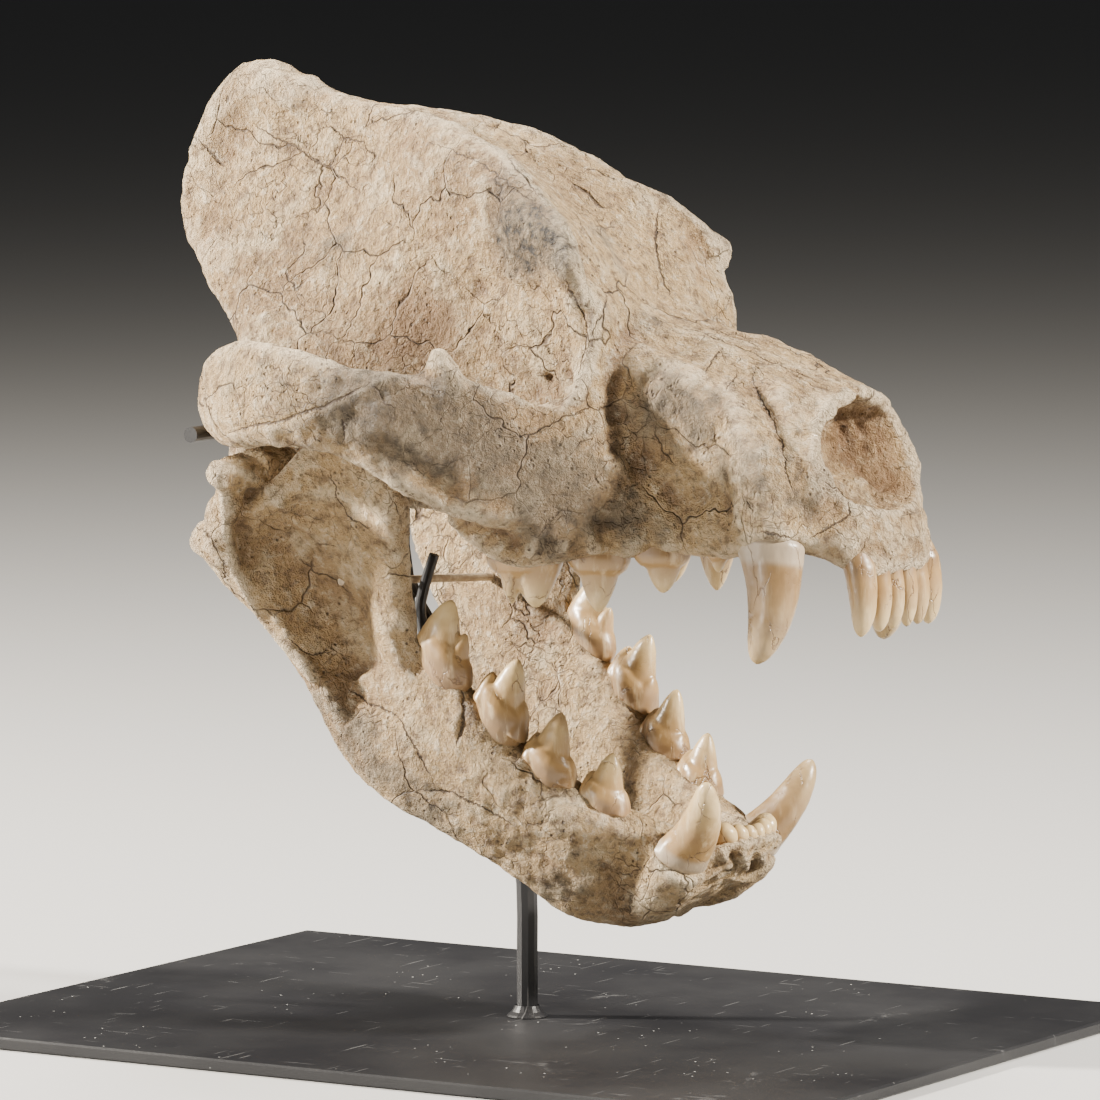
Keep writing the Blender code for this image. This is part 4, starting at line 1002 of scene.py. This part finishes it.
# Peg teeth: root centre, gum centre, tip, half depth, half width, taper.
# Cheek teeth: gum centre, row length, width, slope of the row and its turn about Z in
# degrees, then cusps: place along the row and height
teeth = {
    "voxel": 0.55,
    "grain": (5, 0.16, 2),  # size, height, octaves
    # Pegs: the root's share and its size at the top, the half depth past which a peg is a
    # canine, then swelling at the gum, bow and bluntness of the tip for each kind
    "root": (0.3, 0.78),
    "fangDepth": 7,
    "incisorShape": (0.0, 0.05, 4.5),
    "canineShape": (0.13, 0.085, 6),
    # Cheek teeth, from the root up: size and height in mm, then size and share of the height
    "cheekRoot": [(0.78, -7.0), (0.88, -3), (0.98, 0)],
    "cheekCrown": [(1.02, 0.1), (0.99, 0.20), (0.88, 0.31), (0.66, 0.40), (0.35, 0.45)],
    # Painted shading per tooth: darkest on the canines, which lie in shadow
    "shade": {"upper_right_canine": 1.0, "upper_left_canine": 0.8, "lower_left_canine": 1.0,
              "upper": 0.3, "lower": 0.15},
    "upperPegs": {
        "incisor_1": ((160.5, 5, 206), (165, 5.1, 193), (166.4, 5.4, 168.5), 4.6, 4.4, 0.2),
        "incisor_2": ((159.5, 14.3, 206), (164.4, 14.6, 193), (165.8, 15.4, 168.5), 5.0, 4.8, 0.2),
        "incisor_3": ((157, 24, 207), (162.6, 25.3, 194), (164.4, 27, 167.5), 6.4, 5.9, 0.3),
        "canine": ((129, 39.5, 219), (132.3, 41, 202), (132.2, 50.2, 157.5), 12.9, 10.6, 0.5),
    },
    "lowerPegs": {
        "incisor_1": ((92.5, 3.1, 75), (99, 3.2, 82.5), (104.5, 3.3, 88), 4.2, 3.2, 0.15),
        "incisor_2": ((92, 8.8, 75.5), (98, 9, 82.5), (103.5, 9.6, 89), 4.8, 3.6, 0.15),
        "incisor_3": ((90.5, 14.3, 76.5), (95.8, 15, 83), (101.5, 16.2, 90), 5.8, 4.4, 0.15),
        "canine": ((72, 21.5, 62), (85.5, 28.6, 78), (105.7, 40.8, 109.6), 10.4, 9.0, 0.5),
    },
    "upperCheek": {
        "premolar_1": ((108, 37.5, 198), 10, 8, 0, 4, [(0.0, 8)]),
        "premolar_2": ((84.2, 39.5, 198), 22.5, 14, 0, 10, [(0.05, 17), (0.62, 7), (-0.66, 7)]),
        "premolar_3": ((59.7, 45.5, 197), 25, 17, 0, 16, [(0.0, 24), (0.64, 9), (-0.66, 9)]),
        "premolar_4": ((30.4, 53.8, 195), 28.5, 16, 0, 12, [(0.38, 21), (0.82, 11), (-0.30, 20)]),
    },
    "lowerCheek": {
        "premolar_2": ((57.2, 36.8, 97.6), 21.5, 15, 26, 14, [(0.0, 20.5), (0.64, 9), (-0.66, 10)]),
        "premolar_3": ((37, 44.5, 110), 23.6, 17, 33, 14, [(-0.02, 23.5), (0.64, 10), (-0.68, 11)]),
        "premolar_4": ((18.5, 50.5, 130), 26, 17, 42, 12, [(0.06, 25), (0.66, 13), (-0.66, 13)]),
        "molar_1": ((-3.5, 55.5, 150), 28, 14, 44, 10, [(0.36, 17), (-0.34, 23)]),
    },
}


def addPeg(bm, root, gum, tip, deep, wide, taper, side):
    flip = np.array((1, side, 1))
    root, gum, tip = (Vector(np.array(spot) * flip) for spot in (root, gum, tip))
    axis = (tip - gum).normalized()
    across = axis.cross(Vector((1, 0, 0))).normalized()
    if abs(axis.x) > 0.45:
        across = Vector((0.25, side, -0.2)).normalized()
    fore = across.cross(axis).normalized()
    share, rootSize = teeth["root"]
    kind = "canineShape" if deep > teeth["fangDepth"] else "incisorShape"
    swell, bow, blunt = teeth[kind]
    rings = []
    for step in range(49):
        t = step / 48
        if t < share:
            s = t / share
            spot = root.lerp(gum, s)
            grow = rootSize + (1 - rootSize) * s + swell * s ** 3
        else:
            s = (t - share) / (1 - share)
            out = math.sin(math.pi * s) * bow * (tip - gum).length
            spot = gum.lerp(tip, s) + fore * out * (1 if fore.x > 0 else -1)
            grow = max(0.06, taper * (1 - s) + (1 - taper) * math.sqrt(1 - s ** blunt))
            grow += swell * math.exp(-s / 0.14)
        rings.append(ovalRing(spot, fore * deep * grow, across * wide * grow, 40))
    addLoft(bm, rings)
    return gum, axis, (tip - gum).length


def addCheekTooth(bm, gum, length, width, slope, turn, cusps, side, upper):
    along = Vector((math.cos(math.radians(slope)), 0, -math.sin(math.radians(slope))))
    along.rotate(Matrix.Rotation(math.radians(-turn * side), 3, "Z"))
    lean = math.radians(slope * 0.45)
    rise = Vector((math.sin(lean), 0, (-1 if upper else 1) * math.cos(lean)))
    across = rise.cross(along).normalized()
    centre = Vector((gum[0], gum[1] * side, gum[2]))
    half, thick = length / 2, width / 2

    def oval(spot, long, wide, height):
        return [centre + along * (spot + long * math.cos(2 * math.pi * k / 36))
                + across * wide * math.sin(2 * math.pi * k / 36) + rise * height
                for k in range(36)]

    tall = max(height for _, height in cusps)
    rows = teeth["cheekRoot"] + [(size, share * tall) for size, share in teeth["cheekCrown"]]
    addLoft(bm, [oval(0, half * size, thick * size, height) for size, height in rows])
    for place, height in cusps:
        reach = min(0.80 if height == tall else 0.42, 1.2 - abs(place))
        rings = []
        for step in range(24):
            s = step / 23
            grow = max(0.07, 0.5 * (1 - s) + 0.5 * math.sqrt(1 - s ** 2.6))
            rings.append(oval(place * half, half * reach * grow, thick * 0.9 * grow, height * s))
        addLoft(bm, rings)
    return centre, rise, tall


def makeTooth(node, addCrown, *values):
    bm = bmesh.new()
    gum, rise, tall = addCrown(bm, *values)
    piece = pieceFrom(bm, node + "_crown")
    fuse(piece, teeth["voxel"], smooth=8)
    spots, normals = readSkin(piece)
    seed = sum(map(ord, node)) * 0.37
    roughen(spots, normals, *teeth["grain"], seed)
    writeSkin(piece, spots)
    setAttribute(piece, "crown", ((spots - gum) @ np.array(rise)) / tall)
    setAttribute(piece, "band", np.full(len(spots), float(node.endswith("canine"))))
    shade = teeth["shade"].get(node, teeth["shade"][node.split("_")[0]])
    setAttribute(piece, "shade", np.full(len(spots), shade))
    finishPiece(piece, enamelLook, node)


for jawName, pegs, cheek in (("upper", teeth["upperPegs"], teeth["upperCheek"]),
                             ("lower", teeth["lowerPegs"], teeth["lowerCheek"])):
    for sideName, side in sides.items():
        for tooth, values in pegs.items():
            makeTooth(f"{jawName}_{sideName}_{tooth}", addPeg, *values, side)
        for tooth, values in cheek.items():
            makeTooth(f"{jawName}_{sideName}_{tooth}", addCheekTooth, *values, side,
                      jawName == "upper")
print("stage: teeth")

for node in ("base_plate", "support_rod", "weld_collar", "fork_prong", "rear_crossbar",
             "jaw_crossbar"):
    packed = bpy.data.objects[node]
    packed.data.materials.clear()
    packed.data.materials.append(paintLook if node == "jaw_crossbar" else steelLook)


studio = {
    "floorSize": 45,
    "floorColour": (0.42, 0.415, 0.405),
    "skyColour": (0.8, 0.82, 0.85, 1),
    "skyStrength": 0.035,
    # Lamps in metres: place, aim, size, watts and colour
    "lamps": {
        "top": ((-0.2, 0.45, 1.7), (0.0, 0, 0.25), 0.5, 38, (1, 0.96, 0.9)),
        "left": ((-1.66, -0.84, 0.98), (-0.05, 0, 0.2), 0.16, 240, (1, 0.93, 0.83)),
        "right": ((1.5, 0.3, 0.95), (0.05, 0, 0.22), 0.2, 115, (1, 0.94, 0.85)),
        "front": ((-0.9, -1.9, 0.35), (0, 0, 0.15), 0.35, 16, (1, 0.95, 0.87)),
    },
}


def makeFloor():
    bm = bmesh.new()
    bmesh.ops.create_grid(bm, x_segments=2, y_segments=2, size=studio["floorSize"])
    piece = pieceFrom(bm, "floor")
    look = Look("floor_look")
    look.paint(studio["floorColour"], 1)
    piece.data.materials.append(look.finish(0.75))


def areaLight(name, place, aim, size, watts, colour):
    data = bpy.data.lights.new(name, "AREA")
    data.shape, data.size, data.energy, data.color = "DISK", size, watts, colour
    piece = bpy.data.objects.new(name, data)
    sceneLinks.link(piece)
    piece.location = place
    piece.rotation_euler = (Vector(aim) - Vector(place)).to_track_quat("-Z", "Y").to_euler()


def makeLights():
    world = bpy.data.worlds.new("studio")
    world.use_nodes = True
    sky = world.node_tree.nodes["Background"].inputs
    sky["Color"].default_value = studio["skyColour"]
    sky["Strength"].default_value = studio["skyStrength"]
    bpy.context.scene.world = world
    for name, values in studio["lamps"].items():
        areaLight(name, *values)


makeFloor()
makeLights()
